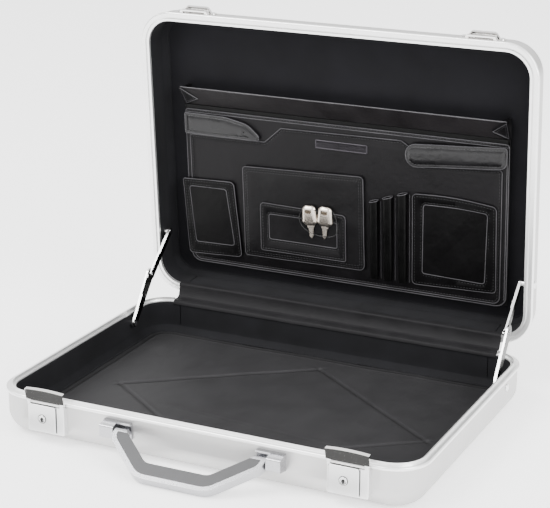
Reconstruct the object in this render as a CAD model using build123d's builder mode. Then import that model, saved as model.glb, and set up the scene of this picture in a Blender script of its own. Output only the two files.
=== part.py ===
from build123d import *
import os
from math import cos, hypot, radians, sin, sqrt

# Laptop hard case: two deep-drawn aluminium trays with extruded rim frames, a full-length
# piano hinge, two sliding-cover locks, a drop handle, folding lid stays and a leather
# organizer in the lid. It is drawn with the lid open.
#
# Millimetres, +Z up, +Y to the hinge side. The origin is the middle of the flat bottom that
# the case rests on.

os.makedirs("parts", exist_ok=True)

# ---------------------------------------------------------------- driving dimensions
case_width = 450.0          # over the rim frames, along X
case_depth = 326.0          # over the rim frames, along Y
base_height = 45.5          # bottom of the base to the land of its frame
lid_height = 38.5           # land of the lid's frame to the lid's outer face
corner_radius = 36.5        # plan corners, at the outside of the frames
open_angle = 85.5           # how far the stays let the lid open
rim_gap = 0.3               # between the two frames with the lid shut
soft_gap = 0.3              # round linings and other soft pieces
fit_gap = 0.05              # between rigid pieces that are pressed or screwed together
run_gap = 0.3               # between pieces that move past each other

# trays
shell_inset = 2.1           # tray wall behind the outside of the frame
shell_wall = 1.2
edge_radius = 20.8          # outer radius between the tray's wall and its flat face

# rim frames: u runs inwards from the outside, heights are from the land
bead_height = 4.0
bead_round = 1.6
leg_depth = 14.0
leg_wall = 1.65
land_width = 5.5
tongue_height = 2.3
tongue_root = 1.2
tongue_tip = 0.8
rim_width = 9.5
shelf_drop = 1.0
shelf_wall = 1.3
groove_side = 0.35          # side clearance of the tongue in the groove
groove_depth = 2.6
groove_web = 1.1

# linings
liner_cove = 8.0
liner_foot = 5.6            # how far the wall lining turns in under its cove
floor_top = 9.0
lid_board = 2.0

# piano hinge
hinge_setback = 6.0         # pin behind the outside of the frames
hinge_length = 374.0
knuckle_count = 15
knuckle_radius = 2.2
pin_radius = 1.2
leaf_wall = 1.0
leaf_height = 20.0
flap_width = 384.0
flap_wall = 1.2

# locks
lock_spread = case_width / 2 - 65.4     # each lock from the middle of the case
lock_width = 41.0
lock_bottom = 12.5
lock_top = 41.2
lock_stand = 6.6            # front of the housing from the tray's wall
lock_corner = 2.0
cover_width = 30.0
cover_height = 28.0
cover_wall = 1.7
cover_shift = -3.4          # middle of the cover from the middle of the lock
cover_travel = 6.0
pocket_height = 16.0
pocket_depth = 4.2
slide_width = 14.0
key_radius = 4.0
key_stand = 0.9
hasp_width = 43.0
hasp_length = 13.2
hasp_wall = 1.6
hasp_lip = 2.2
hasp_lean = 13.0            # how far the sprung hasp leans out when it is free
hasp_bow = 1.2              # rise of its top edge in the middle
hasp_pin_height = 44.0
hasp_pin_stand = 5.9        # pivot in front of the tray's wall
hasp_pin_radius = 1.0
hasp_barrel = 1.9
ear_width = 4.0

# keepers on the lid
keeper_spread = lock_spread + 2.1
keeper_width = 47.0
keeper_near = 4.6           # from the land of the lid's frame
keeper_length = 12.4
keeper_wall = 1.4
bridge_width = 30.0
bridge_stand = 5.0
bridge_wall = 1.5
bridge_length = 4.2
keeper_screw_radius = 1.9
hood_stand = 7.4            # the bar behind the hasp's lip
hood_slot = 9.0             # half the slot in its front

# handle
handle_pin_y = 8.6          # pivot in front of the tray's wall
handle_pin_z = 29.5
handle_pin_radius = 1.6
handle_drop = 32.5          # below level when it hangs to the table, degrees
handle_end = 73.5           # middle of each arm's end
handle_end_width = 13.0
handle_band = 17.6          # width of the bow in its own plane
handle_reach = 46.0         # pivot to the outside of the grip
handle_thick = 10.0
grip_half = 38.0            # half the straight of the grip, to its virtual corners
shoulder = 9.0              # from the pivot to where the arms turn inwards
pad_wall = 3.0
pad_margin = 4.6            # silver edge left outside the pad
bracket_outer = 95.6
bracket_inner = 66.4
bracket_bottom = 21.6
bracket_top = 38.8
bracket_plate = 2.0
bracket_stand = 13.2

# lid stays
stay_back = 67.0            # pivots from the hinge side
stay_down = 12.0            # pivots from the land
stay_arm = 58.7             # between the pivots of one arm
stay_wall = 2.0
stay_gap = 0.4
stay_clear = 3.6            # outer arm from the lining
stay_head = 7.4             # radius of the lower arm's head
stay_foot = 4.6
stay_flange = 0.8
rivet_radius = 1.7
rivet_head = 4.0
rivet_dome = 1.3

# organizer, measured on the lid: v up from the hinge side, n out of the lid's open face
board_n = -25.0
board_wall = 2.5
board_half = 188.5
board_bottom = 30.0
board_top = 212.0
pocket_top = 240.0
pocket_front = -15.0
pocket_wall = 1.2
gusset_wall = 1.0
layer_gap = 0.1

# studs on the hinge side
stud_spread = case_width / 2 - 75
stud_radius = 6.0
stud_height = 4.0

# ---------------------------------------------------------------- frames of reference
turn = radians(open_angle)
lid_up = Vector(0, -cos(turn), sin(turn))       # from the hinge side to the front of the lid
lid_out = Vector(0, -sin(turn), -cos(turn))     # out of the lid's open face
hinge_y = case_depth / 2 + hinge_setback
hinge_z = base_height + rim_gap / 2
lid_edge = Vector(
    0,
    hinge_y - hinge_setback * cos(turn) + rim_gap / 2 * sin(turn),
    hinge_z + hinge_setback * sin(turn) + rim_gap / 2 * cos(turn),
)


def on_lid(x, v, n):
    """Point at x, v up the open lid from its hinge side, and n out of its open face."""
    return lid_edge + Vector(x, 0, 0) + lid_up * v + lid_out * n


def lid_layer(n):
    """Plane with x and v as its axes, n out of the lid's open face."""
    return Plane(origin=on_lid(0, 0, n), x_dir=(1, 0, 0), z_dir=lid_out)


def lid_side(x):
    """Plane with v and n as its axes, looking along X."""
    return Plane(origin=on_lid(x, 0, 0), x_dir=lid_up, z_dir=(1, 0, 0))


base_rim = Plane(origin=(0, 0, base_height), x_dir=(1, 0, 0), z_dir=(0, 0, 1))
lid_rim = Plane(origin=on_lid(0, case_depth / 2, 0), x_dir=(1, 0, 0), z_dir=lid_out)
wall_y = -case_depth / 2 + shell_inset          # front face of the base tray
finished = []


def save(piece, name):
    """Label a finished piece and write its STEP file."""
    piece.part.label = name
    export_step(piece.part, f"parts/{name}.step")
    finished.append(name)


def outline(inset):
    """The plan of the case, drawn in by inset."""
    return RectangleRounded(
        case_width - 2 * inset, case_depth - 2 * inset, corner_radius - inset
    )


def tub(rim, floor, top, inset, edge=0.0):
    """Solid of the plan drawn in by inset, from floor to top, its lower edge rounded."""
    with BuildPart() as body:
        with BuildSketch(rim.offset(floor)):
            outline(inset)
        extrude(amount=top - floor)
        if edge > 0:
            fillet(body.edges().group_by(Axis(rim.origin, rim.z_dir))[0], edge)
    return body


# ---------------------------------------------------------------- trays, frames and linings
leg_out = shell_inset + shell_wall + fit_gap
leg_in = leg_out + leg_wall
liner_back = leg_in + soft_gap
shelf_under = shelf_drop + shelf_wall
groove_out = land_width - groove_side
groove_in = land_width + tongue_root + groove_side
ridge_under = groove_depth + groove_web


def drawn_tray(rim, depth):
    """Deep-drawn tray that ends under the bead of its frame."""
    room = tub(
        rim, shell_wall - depth, 0, shell_inset + shell_wall, edge_radius - shell_wall
    )
    body = tub(rim, -depth, -bead_height, shell_inset, edge_radius)
    with BuildPart() as tray:
        add(body.part)
        add(room.part, mode=Mode.SUBTRACT)
    return tray


def rim_frame(rim, section_points):
    """Extruded profile bent round the plan; its bead is rounded outside."""
    half_x, half_y = case_width / 2, case_depth / 2
    corners = [(-half_x, -half_y), (half_x, -half_y), (half_x, half_y), (-half_x, half_y)]
    with BuildPart() as frame:
        with BuildLine(rim) as path:
            FilletPolyline(*corners, radius=corner_radius, close=True)
        along = path.line % 0
        across = Plane(
            origin=path.line @ 0, x_dir=rim.z_dir.cross(along), z_dir=along
        )
        with BuildSketch(across) as section:
            with BuildLine():
                Polyline(*section_points, close=True)
            make_face()
            fillet(section.vertices().group_by(Axis.X)[0], bead_round)
        sweep(path=path.line)
    return frame


base_section = [
    (0, 0),
    (land_width, 0),
    (land_width + (tongue_root - tongue_tip) / 2, tongue_height),
    (land_width + (tongue_root + tongue_tip) / 2, tongue_height),
    (land_width + tongue_root, -shelf_drop),
    (rim_width, -shelf_drop),
    (rim_width, -shelf_under),
    (leg_in, -shelf_under),
    (leg_in, -leg_depth),
    (leg_out, -leg_depth),
    (leg_out, -bead_height),
    (0, -bead_height),
]
lid_section = [
    (0, 0),
    (groove_out, 0),
    (groove_out, -groove_depth),
    (groove_in, -groove_depth),
    (groove_in, 0),
    (rim_width, 0),
    (rim_width, -ridge_under),
    (leg_in, -ridge_under),
    (leg_in, -leg_depth),
    (leg_out, -leg_depth),
    (leg_out, -bead_height),
    (0, -bead_height),
]

# holes for the rivets of the lid stays, through both side walls
stay_y = case_depth / 2 - stay_back
stay_z = base_height - stay_down
base_pivot_plane = Plane(origin=(0, stay_y, stay_z), x_dir=(0, 1, 0), z_dir=(1, 0, 0))
lid_pivot_plane = Plane(
    origin=on_lid(0, stay_back, -stay_down), x_dir=lid_up, z_dir=(1, 0, 0)
)


def rivet_bore(plane):
    """Cutter for the two pivot rivets, right through the case."""
    with BuildPart() as bore:
        with BuildSketch(plane):
            Circle(rivet_radius + fit_gap)
        extrude(amount=case_width, both=True)
    return bore


base_bore = rivet_bore(base_pivot_plane)
lid_bore = rivet_bore(lid_pivot_plane)


def bored(body, bore):
    """The piece with its rivet holes."""
    with BuildPart() as piece:
        add(body.part)
        add(bore.part, mode=Mode.SUBTRACT)
    return piece


base_shell = bored(drawn_tray(base_rim, base_height), base_bore)
save(base_shell, "base_shell")
lid_shell = bored(drawn_tray(lid_rim, lid_height), lid_bore)
save(lid_shell, "lid_shell")

# the tongue stops short of the hinge flap
with BuildPart() as base_frame:
    add(rim_frame(base_rim, base_section).part)
    add(base_bore.part, mode=Mode.SUBTRACT)
    with BuildSketch(base_rim):
        with Locations((0, case_depth / 2)):
            Rectangle(flap_width + 2 * soft_gap, 2 * rim_width)
    extrude(amount=2 * tongue_height, mode=Mode.SUBTRACT)
save(base_frame, "base_frame")

lid_frame = bored(rim_frame(lid_rim, lid_section), lid_bore)
save(lid_frame, "lid_frame")


def wall_liner(rim, depth, board_face, top, bore):
    """Padded wall lining: it fills the tray's edge radius and turns in over the board."""
    gap = shell_inset + shell_wall + soft_gap
    cavity = tub(rim, shell_wall + soft_gap - depth, 0, gap, edge_radius - shell_wall - soft_gap)
    foot = board_face + soft_gap
    room = tub(rim, foot + layer_gap, 0, rim_width, liner_cove)
    with BuildPart() as liner:
        with BuildSketch(rim.offset(foot)):
            outline(liner_back)
        extrude(amount=top - foot)
        add(cavity.part, mode=Mode.INTERSECT)
        add(room.part, mode=Mode.SUBTRACT)
        with BuildSketch(rim.offset(foot)):
            outline(rim_width + liner_foot)
        extrude(amount=liner_cove, mode=Mode.SUBTRACT)
        add(bore.part, mode=Mode.SUBTRACT)
    return liner


def lining_board(rim, depth, board_face):
    """Board that fills the flat of the tray inside its edge radius."""
    gap = shell_inset + shell_wall + soft_gap
    low = shell_wall + soft_gap - depth
    cavity = tub(rim, low, 0, gap, edge_radius - shell_wall - soft_gap)
    with BuildPart() as board:
        with BuildSketch(rim.offset(low)):
            outline(rim_width + layer_gap)
        extrude(amount=board_face - low)
        add(cavity.part, mode=Mode.INTERSECT)
    return board


base_face = floor_top - base_height
lid_face = shell_wall + soft_gap + lid_board - lid_height
base_wall_liner = wall_liner(
    base_rim, base_height, base_face, -shelf_under - layer_gap, base_bore
)
save(base_wall_liner, "base_wall_liner")
floor_pad = lining_board(base_rim, base_height, base_face)
save(floor_pad, "floor_pad")
lid_wall_liner = wall_liner(
    lid_rim, lid_height, lid_face, -ridge_under - layer_gap, lid_bore
)
save(lid_wall_liner, "lid_wall_liner")
lid_top_liner = lining_board(lid_rim, lid_height, lid_face)
save(lid_top_liner, "lid_top_liner")

# ---------------------------------------------------------------- piano hinge
knuckle_length = hinge_length / knuckle_count
pin_h = rim_gap / 2
leaf_in = -shell_inset + fit_gap                # against the tray's wall
leaf_out = run_gap                              # clear of the bead
jog = leaf_out - leaf_in
leaf_top = pin_h - knuckle_radius + leaf_wall
leaf_stop = hinge_setback - knuckle_radius - run_gap
leaf_points = [
    (leaf_in, -leaf_height),
    (leaf_in, -bead_height - jog),
    (leaf_out, -bead_height),
    (leaf_out, leaf_top),
    (leaf_stop, leaf_top),
    (leaf_stop, leaf_top - leaf_wall),
    (leaf_out + leaf_wall, leaf_top - leaf_wall),
    (leaf_out + leaf_wall, -bead_height - leaf_wall / 2),
    (leaf_in + leaf_wall, -bead_height - jog - leaf_wall / 2),
    (leaf_in + leaf_wall, -leaf_height),
]
base_hinge = Plane(
    origin=(0, case_depth / 2, base_height), x_dir=(0, 1, 0), z_dir=(1, 0, 0)
)
lid_hinge = Plane(origin=on_lid(0, 0, 0), x_dir=-lid_up, z_dir=(-1, 0, 0))


def hinge_leaf(plane, first, bore_gap):
    """Leaf on the tray's wall, stepped round the bead, with every other knuckle."""
    places = [
        (i + 0.5 - knuckle_count / 2) * knuckle_length
        for i in range(first, knuckle_count, 2)
    ]
    with BuildPart() as leaf:
        with BuildSketch(plane):
            with BuildLine():
                Polyline(*leaf_points, close=True)
            make_face()
        extrude(amount=hinge_length / 2, both=True)
        for place in places:
            with BuildSketch(plane.offset(place)):
                with Locations((hinge_setback, pin_h)):
                    Circle(knuckle_radius)
                with Locations(((leaf_stop + hinge_setback) / 2, leaf_top - leaf_wall / 2)):
                    Rectangle(hinge_setback - leaf_stop, leaf_wall)
            extrude(amount=knuckle_length / 2 - run_gap / 2, both=True)
        with BuildSketch(plane):
            with Locations((hinge_setback, pin_h)):
                Circle(pin_radius + bore_gap)
        extrude(amount=hinge_length, both=True, mode=Mode.SUBTRACT)
    return leaf


hinge_leaf_base = hinge_leaf(base_hinge, 0, 0.02)
save(hinge_leaf_base, "hinge_leaf_base")
hinge_leaf_lid = hinge_leaf(lid_hinge, 1, 0.06)
save(hinge_leaf_lid, "hinge_leaf_lid")

with BuildPart() as hinge_pin:
    with BuildSketch(base_hinge):
        with Locations((hinge_setback, pin_h)):
            Circle(pin_radius)
    extrude(amount=hinge_length / 2 + 0.4, both=True)
save(hinge_pin, "hinge_pin")

# leather flap over the gap between the frames, from the lid's lining to the base's shelf
flap_lift = soft_gap + flap_wall / 2
flap_line = [
    on_lid(0, rim_width + flap_lift, -ridge_under + 0.6),
    on_lid(0, rim_width + flap_lift, flap_lift * 0.6),
    on_lid(0, rim_width - 0.6, flap_lift),
    on_lid(0, rim_width / 2, flap_lift),
    Vector(0, (lid_edge.Y + case_depth / 2) / 2 - 1.2, (lid_edge.Z + base_height) / 2 + 1.2),
    Vector(0, case_depth / 2 - 2.2, base_height + flap_lift),
    Vector(0, case_depth / 2 - land_width - tongue_root, base_height + flap_lift),
    Vector(0, case_depth / 2 - rim_width, base_height - shelf_drop + flap_lift),
]
with BuildPart() as hinge_flap:
    with BuildSketch(Plane.YZ.offset(-flap_width / 2)):
        with BuildLine():
            Polyline(*[(p.Y, p.Z) for p in flap_line])
        trace(line_width=flap_wall)
    extrude(amount=flap_width)
save(hinge_flap, "hinge_flap")

# studs that the shut case stands on when it is on its hinge side
stud_depth = leaf_height + stud_radius + 1.5


def studs(rim, hinge_side, name):
    """Pair of turned studs on the hinge-side wall, their backs fitted to the tray."""
    face = Plane(
        origin=rim.origin + hinge_side * (case_depth / 2 - shell_inset) - rim.z_dir * stud_depth,
        x_dir=(1, 0, 0),
        z_dir=hinge_side,
    )
    body = tub(rim, -base_height, 0, shell_inset - fit_gap, edge_radius)
    with BuildPart() as pair:
        with BuildSketch(face.offset(-edge_radius / 2)):
            with GridLocations(2 * stud_spread, 1, 2, 1):
                Circle(stud_radius)
        extrude(amount=edge_radius / 2 + stud_height)
        fillet(pair.edges().group_by(Axis(face.origin, face.z_dir))[-1], 1.4)
        add(body.part, mode=Mode.SUBTRACT)
    save(pair, name)


studs(base_rim, Vector(0, 1, 0), "base_studs")
studs(lid_rim, -lid_up, "lid_studs")

# ---------------------------------------------------------------- locks
front = Plane(origin=(0, wall_y, 0), x_dir=(1, 0, 0), z_dir=(0, -1, 0))
tray_body = tub(base_rim, -base_height, 0, shell_inset - fit_gap, edge_radius)
lock_middle = (lock_bottom + lock_top) / 2
cover_middle = lock_top - cover_height / 2 + 0.2
hasp_pin_y = wall_y - hasp_pin_stand
ear_place = lock_width / 2 - ear_width / 2
barrel_half = lock_width / 2 - ear_width - run_gap
slide_gap = 0.1
lean = radians(hasp_lean)
hasp_in = Vector(0, cos(lean), sin(lean))
sides = {"left": -1, "right": 1}


def lock_housing(place):
    """Die-cast housing with the slide's pocket and two ears for the hasp's pin."""
    with BuildPart() as housing:
        with BuildSketch(front.offset(-edge_radius / 2)):
            with Locations((place, lock_middle)):
                RectangleRounded(lock_width, lock_top - lock_bottom, lock_corner)
        extrude(amount=edge_radius / 2 + lock_stand)
        fillet(housing.edges().group_by(Axis.Y)[0], 0.8)
        with BuildSketch(front.offset(lock_stand)):
            with Locations((place + cover_shift + cover_travel / 2, cover_middle)):
                Rectangle(slide_width + cover_travel + 2 * run_gap, pocket_height)
        extrude(amount=-pocket_depth, mode=Mode.SUBTRACT)
        for end in (-1, 1):
            ear_plane = Plane.YZ.offset(place + end * ear_place)
            with BuildSketch(ear_plane):
                with Locations((hasp_pin_y, hasp_pin_height)):
                    Circle(hasp_barrel)
                with Locations((wall_y - lock_stand, hasp_pin_height)):
                    Rectangle(
                        lock_stand - hasp_pin_stand + hasp_barrel,
                        hasp_pin_height - lock_top + 1,
                        align=(Align.MIN, Align.MAX),
                    )
            extrude(amount=ear_width / 2, both=True)
        with BuildSketch(Plane.YZ.offset(place)):
            with Locations((hasp_pin_y, hasp_pin_height)):
                Circle(hasp_pin_radius + 0.02)
        extrude(amount=lock_width, both=True, mode=Mode.SUBTRACT)
        add(tray_body.part, mode=Mode.SUBTRACT)
    return housing


def hasp_pin(place):
    """Pivot pin of the hasp."""
    with BuildPart() as pin:
        with BuildSketch(Plane.YZ.offset(place)):
            with Locations((hasp_pin_y, hasp_pin_height)):
                Circle(hasp_pin_radius)
        extrude(amount=lock_width / 2, both=True)
    return pin


def hasp(place):
    """Sprung hasp, leaning out: bowed plate, lip that hooks the keeper, and barrel."""
    pivot = (place, hasp_pin_y, hasp_pin_height)
    face = Plane(origin=pivot, x_dir=(1, 0, 0), z_dir=-hasp_in)
    side = Plane(origin=pivot, x_dir=hasp_in, z_dir=(1, 0, 0))
    half = hasp_width / 2
    low = hasp_barrel + run_gap
    inner = 0.4
    with BuildPart() as plate:
        with BuildSketch(face.offset(-inner)):
            with BuildLine():
                Polyline(
                    (-half, hasp_length), (-half, low), (half, low), (half, hasp_length)
                )
                ThreePointArc(
                    (half, hasp_length), (0, hasp_length + hasp_bow), (-half, hasp_length)
                )
            make_face()
        extrude(amount=hasp_wall)
        with BuildSketch(face.offset(-inner - hasp_lip)):
            with BuildLine():
                Line((-half, hasp_length), (-half, hasp_length - 1.3))
                ThreePointArc(
                    (-half, hasp_length - 1.3),
                    (0, hasp_length - 1.3 + hasp_bow),
                    (half, hasp_length - 1.3),
                )
                Line((half, hasp_length - 1.3), (half, hasp_length))
                ThreePointArc(
                    (half, hasp_length), (0, hasp_length + hasp_bow), (-half, hasp_length)
                )
            make_face()
        extrude(amount=hasp_lip)
        with BuildSketch(side):
            Circle(hasp_barrel)
            with Locations(((2 * inner - hasp_wall) / 2, low / 2)):
                Rectangle(hasp_wall, low)
        extrude(amount=barrel_half, both=True)
        with BuildSketch(side):
            Circle(hasp_pin_radius + 0.06)
        extrude(amount=hasp_width, both=True, mode=Mode.SUBTRACT)
    return plate


def lock_slide(place):
    """Square sliding cover with the bolt block behind it."""
    with BuildPart() as slide:
        with BuildSketch(front.offset(lock_stand + slide_gap)):
            with Locations((place + cover_shift, cover_middle)):
                RectangleRounded(cover_width, cover_height, lock_corner)
        extrude(amount=cover_wall)
        fillet(slide.edges().group_by(Axis.Y)[0], 0.5)
        with BuildSketch(front.offset(lock_stand + slide_gap)):
            with Locations((place + cover_shift, cover_middle)):
                Rectangle(slide_width, pocket_height - 2 * run_gap)
        extrude(amount=run_gap - pocket_depth)
        with BuildSketch(front):
            with Locations((place + cover_shift, cover_middle)):
                Circle(key_radius + 0.06)
        extrude(amount=2 * lock_stand, mode=Mode.SUBTRACT)
    return slide


def key_cylinder(place):
    """Key cylinder with a dished face, keyhole and slot."""
    face = lock_stand + slide_gap + cover_wall + key_stand
    with BuildPart() as cylinder:
        with BuildSketch(front.offset(face)):
            with Locations((place + cover_shift, cover_middle)):
                Circle(key_radius)
        extrude(amount=-(key_stand + cover_wall + pocket_depth - 2 * run_gap))
        fillet(cylinder.edges().group_by(Axis.Y)[0], 0.5)
        with BuildSketch(front.offset(face)):
            with Locations((place + cover_shift, cover_middle)):
                Circle(0.7 * key_radius)
        extrude(amount=-0.5, mode=Mode.SUBTRACT)
        with BuildSketch(front.offset(face)):
            with Locations((place + cover_shift, cover_middle)):
                Circle(0.28 * key_radius)
                Rectangle(0.25 * key_radius, key_radius)
        extrude(amount=-key_radius, mode=Mode.SUBTRACT)
    return cylinder


for side_name, side in sides.items():
    save(lock_housing(side * lock_spread), f"lock_housing_{side_name}")
    save(hasp_pin(side * lock_spread), f"hasp_pin_{side_name}")
    save(hasp(side * lock_spread), f"hasp_{side_name}")
    save(lock_slide(side * lock_spread), f"lock_slide_{side_name}")
    save(key_cylinder(side * lock_spread), f"key_cylinder_{side_name}")

# ---------------------------------------------------------------- keepers on the lid's front
lid_front = Plane(
    origin=on_lid(0, case_depth - shell_inset + fit_gap, 0), x_dir=(1, 0, 0), z_dir=lid_up
)
screw_place = keeper_width / 2 - 3.6
screw_depth = keeper_near + keeper_length - 4.2


def keeper(place):
    """Keeper plate with a raised bridge for the hasp's lip and two screw holes."""
    outer, foot = bridge_width / 2, bridge_width / 2 + 2
    inner = bridge_width / 2 - 2
    bridge_face = Plane(
        origin=on_lid(place, case_depth - shell_inset + fit_gap, -keeper_near - 0.6),
        x_dir=(1, 0, 0),
        z_dir=lid_out,
    )
    hood_depth = hasp_pin_height + hasp_length + hasp_bow + 2 * run_gap - base_height
    hood_face = Plane(
        origin=on_lid(place, case_depth - shell_inset + fit_gap, -hood_depth),
        x_dir=(1, 0, 0),
        z_dir=lid_out,
    )
    with BuildPart() as plate:
        with BuildSketch(lid_front):
            with Locations((place, keeper_near + keeper_length / 2)):
                RectangleRounded(keeper_width, keeper_length, 2.6)
        extrude(amount=keeper_wall)
        with BuildSketch(bridge_face):
            with BuildLine():
                Polyline(
                    (-foot, keeper_wall),
                    (-outer, bridge_stand),
                    (outer, bridge_stand),
                    (foot, keeper_wall),
                    (inner, keeper_wall),
                    (inner, bridge_stand - bridge_wall),
                    (-inner, bridge_stand - bridge_wall),
                    (-inner, keeper_wall),
                    close=True,
                )
            make_face()
        extrude(amount=-bridge_length)
        with BuildSketch(hood_face):
            with BuildLine():
                FilletPolyline(
                    (-foot, keeper_wall / 2),
                    (-foot, keeper_wall),
                    (-inner, hood_stand),
                    (inner, hood_stand),
                    (foot, keeper_wall),
                    (foot, keeper_wall / 2),
                    radius=(0, 0, 4, 4, 0, 0),
                    close=True,
                )
            make_face()
        extrude(amount=hood_depth - keeper_near - keeper_length)
        with BuildSketch(hood_face):
            with Locations((0, (keeper_wall + bridge_stand) / 2)):
                Rectangle(2 * hood_slot, bridge_stand - keeper_wall)
        extrude(amount=-bridge_wall, mode=Mode.SUBTRACT)
        with BuildSketch(lid_front):
            with Locations((place - screw_place, screw_depth), (place + screw_place, screw_depth)):
                Circle(keeper_screw_radius + fit_gap)
        extrude(amount=bridge_stand, mode=Mode.SUBTRACT)
    return plate


for side_name, side in sides.items():
    save(keeper(side * keeper_spread), f"keeper_{side_name}")

with BuildPart() as keeper_screws:
    for side in sides.values():
        for end in (-1, 1):
            with BuildSketch(lid_front.offset(keeper_wall)):
                with Locations((side * keeper_spread + end * screw_place, screw_depth)):
                    Circle(keeper_screw_radius + 0.9)
            extrude(amount=0.9)
            with BuildSketch(lid_front):
                with Locations((side * keeper_spread + end * screw_place, screw_depth)):
                    Circle(keeper_screw_radius)
            extrude(amount=keeper_wall)
save(keeper_screws, "keeper_screws")

# ---------------------------------------------------------------- drop handle
handle_y = wall_y - handle_pin_y
drop = radians(handle_drop)
handle_plane = Plane(
    origin=(0, handle_y, handle_pin_z), x_dir=(1, 0, 0), z_dir=(0, -sin(drop), cos(drop))
)
end_out = handle_end + handle_end_width / 2
end_in = handle_end - handle_end_width / 2
end_top = handle_thick / 2
grip_in = grip_half - 5.0
shoulder_in = shoulder - 10.0

bow_points = [
    (-end_out, end_top),
    (-end_out, -shoulder),
    (-grip_half, -handle_reach),
    (grip_half, -handle_reach),
    (end_out, -shoulder),
    (end_out, end_top),
]
bow_radii = (0, 16, 26, 26, 16, 0)
finger_points = [
    (-end_in, end_top + 1),
    (-end_in, -shoulder_in),
    (-grip_in, handle_band - handle_reach),
    (grip_in, handle_band - handle_reach),
    (end_in, -shoulder_in),
    (end_in, end_top + 1),
]
finger_radii = (0, 6, 12, 12, 6, 0)


def pad_region(plane, gap):
    """Where the soft pad lies on the bow: inside the silver edge, down to the finger gap."""
    with BuildSketch(plane) as region:
        with BuildLine():
            FilletPolyline(*bow_points, radius=bow_radii, close=True)
        make_face()
        offset(amount=-pad_margin - gap)
        with BuildLine():
            FilletPolyline(*finger_points, radius=finger_radii, close=True)
        make_face(mode=Mode.SUBTRACT)
        with Locations((0, -1 - gap)):
            Rectangle(
                2 * end_out, handle_reach, align=(Align.CENTER, Align.MAX), mode=Mode.INTERSECT
            )
    return region


with BuildPart() as handle_bow:
    with BuildSketch(handle_plane):
        with BuildLine():
            FilletPolyline(*bow_points, radius=bow_radii, close=True)
        make_face()
        with BuildLine():
            FilletPolyline(*finger_points, radius=finger_radii, close=True)
        make_face(mode=Mode.SUBTRACT)
    extrude(amount=handle_thick / 2, both=True)
    ends = handle_bow.faces().sort_by(Axis((0, 0, 0), handle_plane.y_dir))[-2:]
    fillet(ends.edges().filter_by(Axis.X), handle_thick / 2 - 0.1)
    with BuildSketch(handle_plane.offset(handle_thick / 2)):
        add(pad_region(Plane.XY, 0).sketch)
    extrude(amount=-pad_wall, mode=Mode.SUBTRACT)
    with BuildSketch(Plane.YZ):
        with Locations((handle_y, handle_pin_z)):
            Circle(handle_pin_radius + 0.06)
    extrude(amount=case_width / 2, both=True, mode=Mode.SUBTRACT)
save(handle_bow, "handle_bow")

with BuildPart() as handle_pad:
    with BuildSketch(handle_plane.offset(handle_thick / 2 - pad_wall + fit_gap)):
        add(pad_region(Plane.XY, fit_gap).sketch)
    extrude(amount=pad_wall - fit_gap)
    with BuildSketch(Plane.YZ):
        with Locations((handle_y, handle_pin_z)):
            Circle(handle_pin_radius + 0.4)
    extrude(amount=case_width / 2, both=True, mode=Mode.SUBTRACT)
save(handle_pad, "handle_pad")

block_in = end_out + run_gap + 0.5
block_points = [
    (wall_y, bracket_top),
    (wall_y - bracket_stand, bracket_top - 2.6),
    (wall_y - bracket_stand, bracket_bottom + 2.2),
    (wall_y, bracket_bottom),
]


def handle_bracket(side):
    """Bracket: wall plate, solid outer boss and a hood over the handle's end."""
    middle = (bracket_inner + bracket_outer) / 2
    with BuildPart() as bracket:
        with BuildSketch(front.offset(fit_gap)):
            with Locations((side * middle, (bracket_bottom + bracket_top) / 2)):
                Rectangle(bracket_outer - bracket_inner, bracket_top - bracket_bottom)
        extrude(amount=bracket_plate)
        with BuildSketch(Plane.YZ.offset(side * bracket_outer)):
            with BuildLine():
                FilletPolyline(*block_points, radius=(0, 2.0, 2.0, 0), close=True)
            make_face()
        extrude(amount=-side * (bracket_outer - block_in))
        with BuildSketch(front.offset(fit_gap)):
            with Locations((side * middle, bracket_top - 0.9)):
                Rectangle(bracket_outer - bracket_inner, 1.8)
        extrude(amount=bracket_plate + 3.2)
        with BuildSketch(Plane.YZ):
            with Locations((handle_y, handle_pin_z)):
                Circle(handle_pin_radius + 0.02)
        extrude(amount=side * (block_in + 4), mode=Mode.SUBTRACT)
        split(bisect_by=front.offset(fit_gap), keep=Keep.TOP)
    return bracket


for side_name, side in sides.items():
    save(handle_bracket(side), f"handle_bracket_{side_name}")

with BuildPart() as handle_pins:
    for side in sides.values():
        with BuildSketch(Plane.YZ.offset(side * (end_in - 0.6))):
            with Locations((handle_y, handle_pin_z)):
                Circle(handle_pin_radius)
        extrude(amount=side * (block_in + 4 - end_in))
save(handle_pins, "handle_pins")

# ---------------------------------------------------------------- folding lid stays
base_pivot = Vector(0, stay_y, stay_z)
lid_pivot = on_lid(0, stay_back, -stay_down)
span = lid_pivot - base_pivot
knee_off = sqrt(stay_arm**2 - span.length**2 / 4)
knee = (base_pivot + lid_pivot) / 2 + Vector(0, -span.Z, span.Y).normalized() * knee_off
arm_out = case_width / 2 - rim_width - stay_clear
arm_in = arm_out - stay_wall - stay_gap
flange_end = stay_arm - 26.0


def arm_plane(side, place, start):
    """Plane of an arm: its X runs from the pivot at start to the knee."""
    return Plane(
        origin=start + Vector(side * place, 0, 0), x_dir=(knee - start).normalized(), z_dir=(1, 0, 0)
    )


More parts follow.
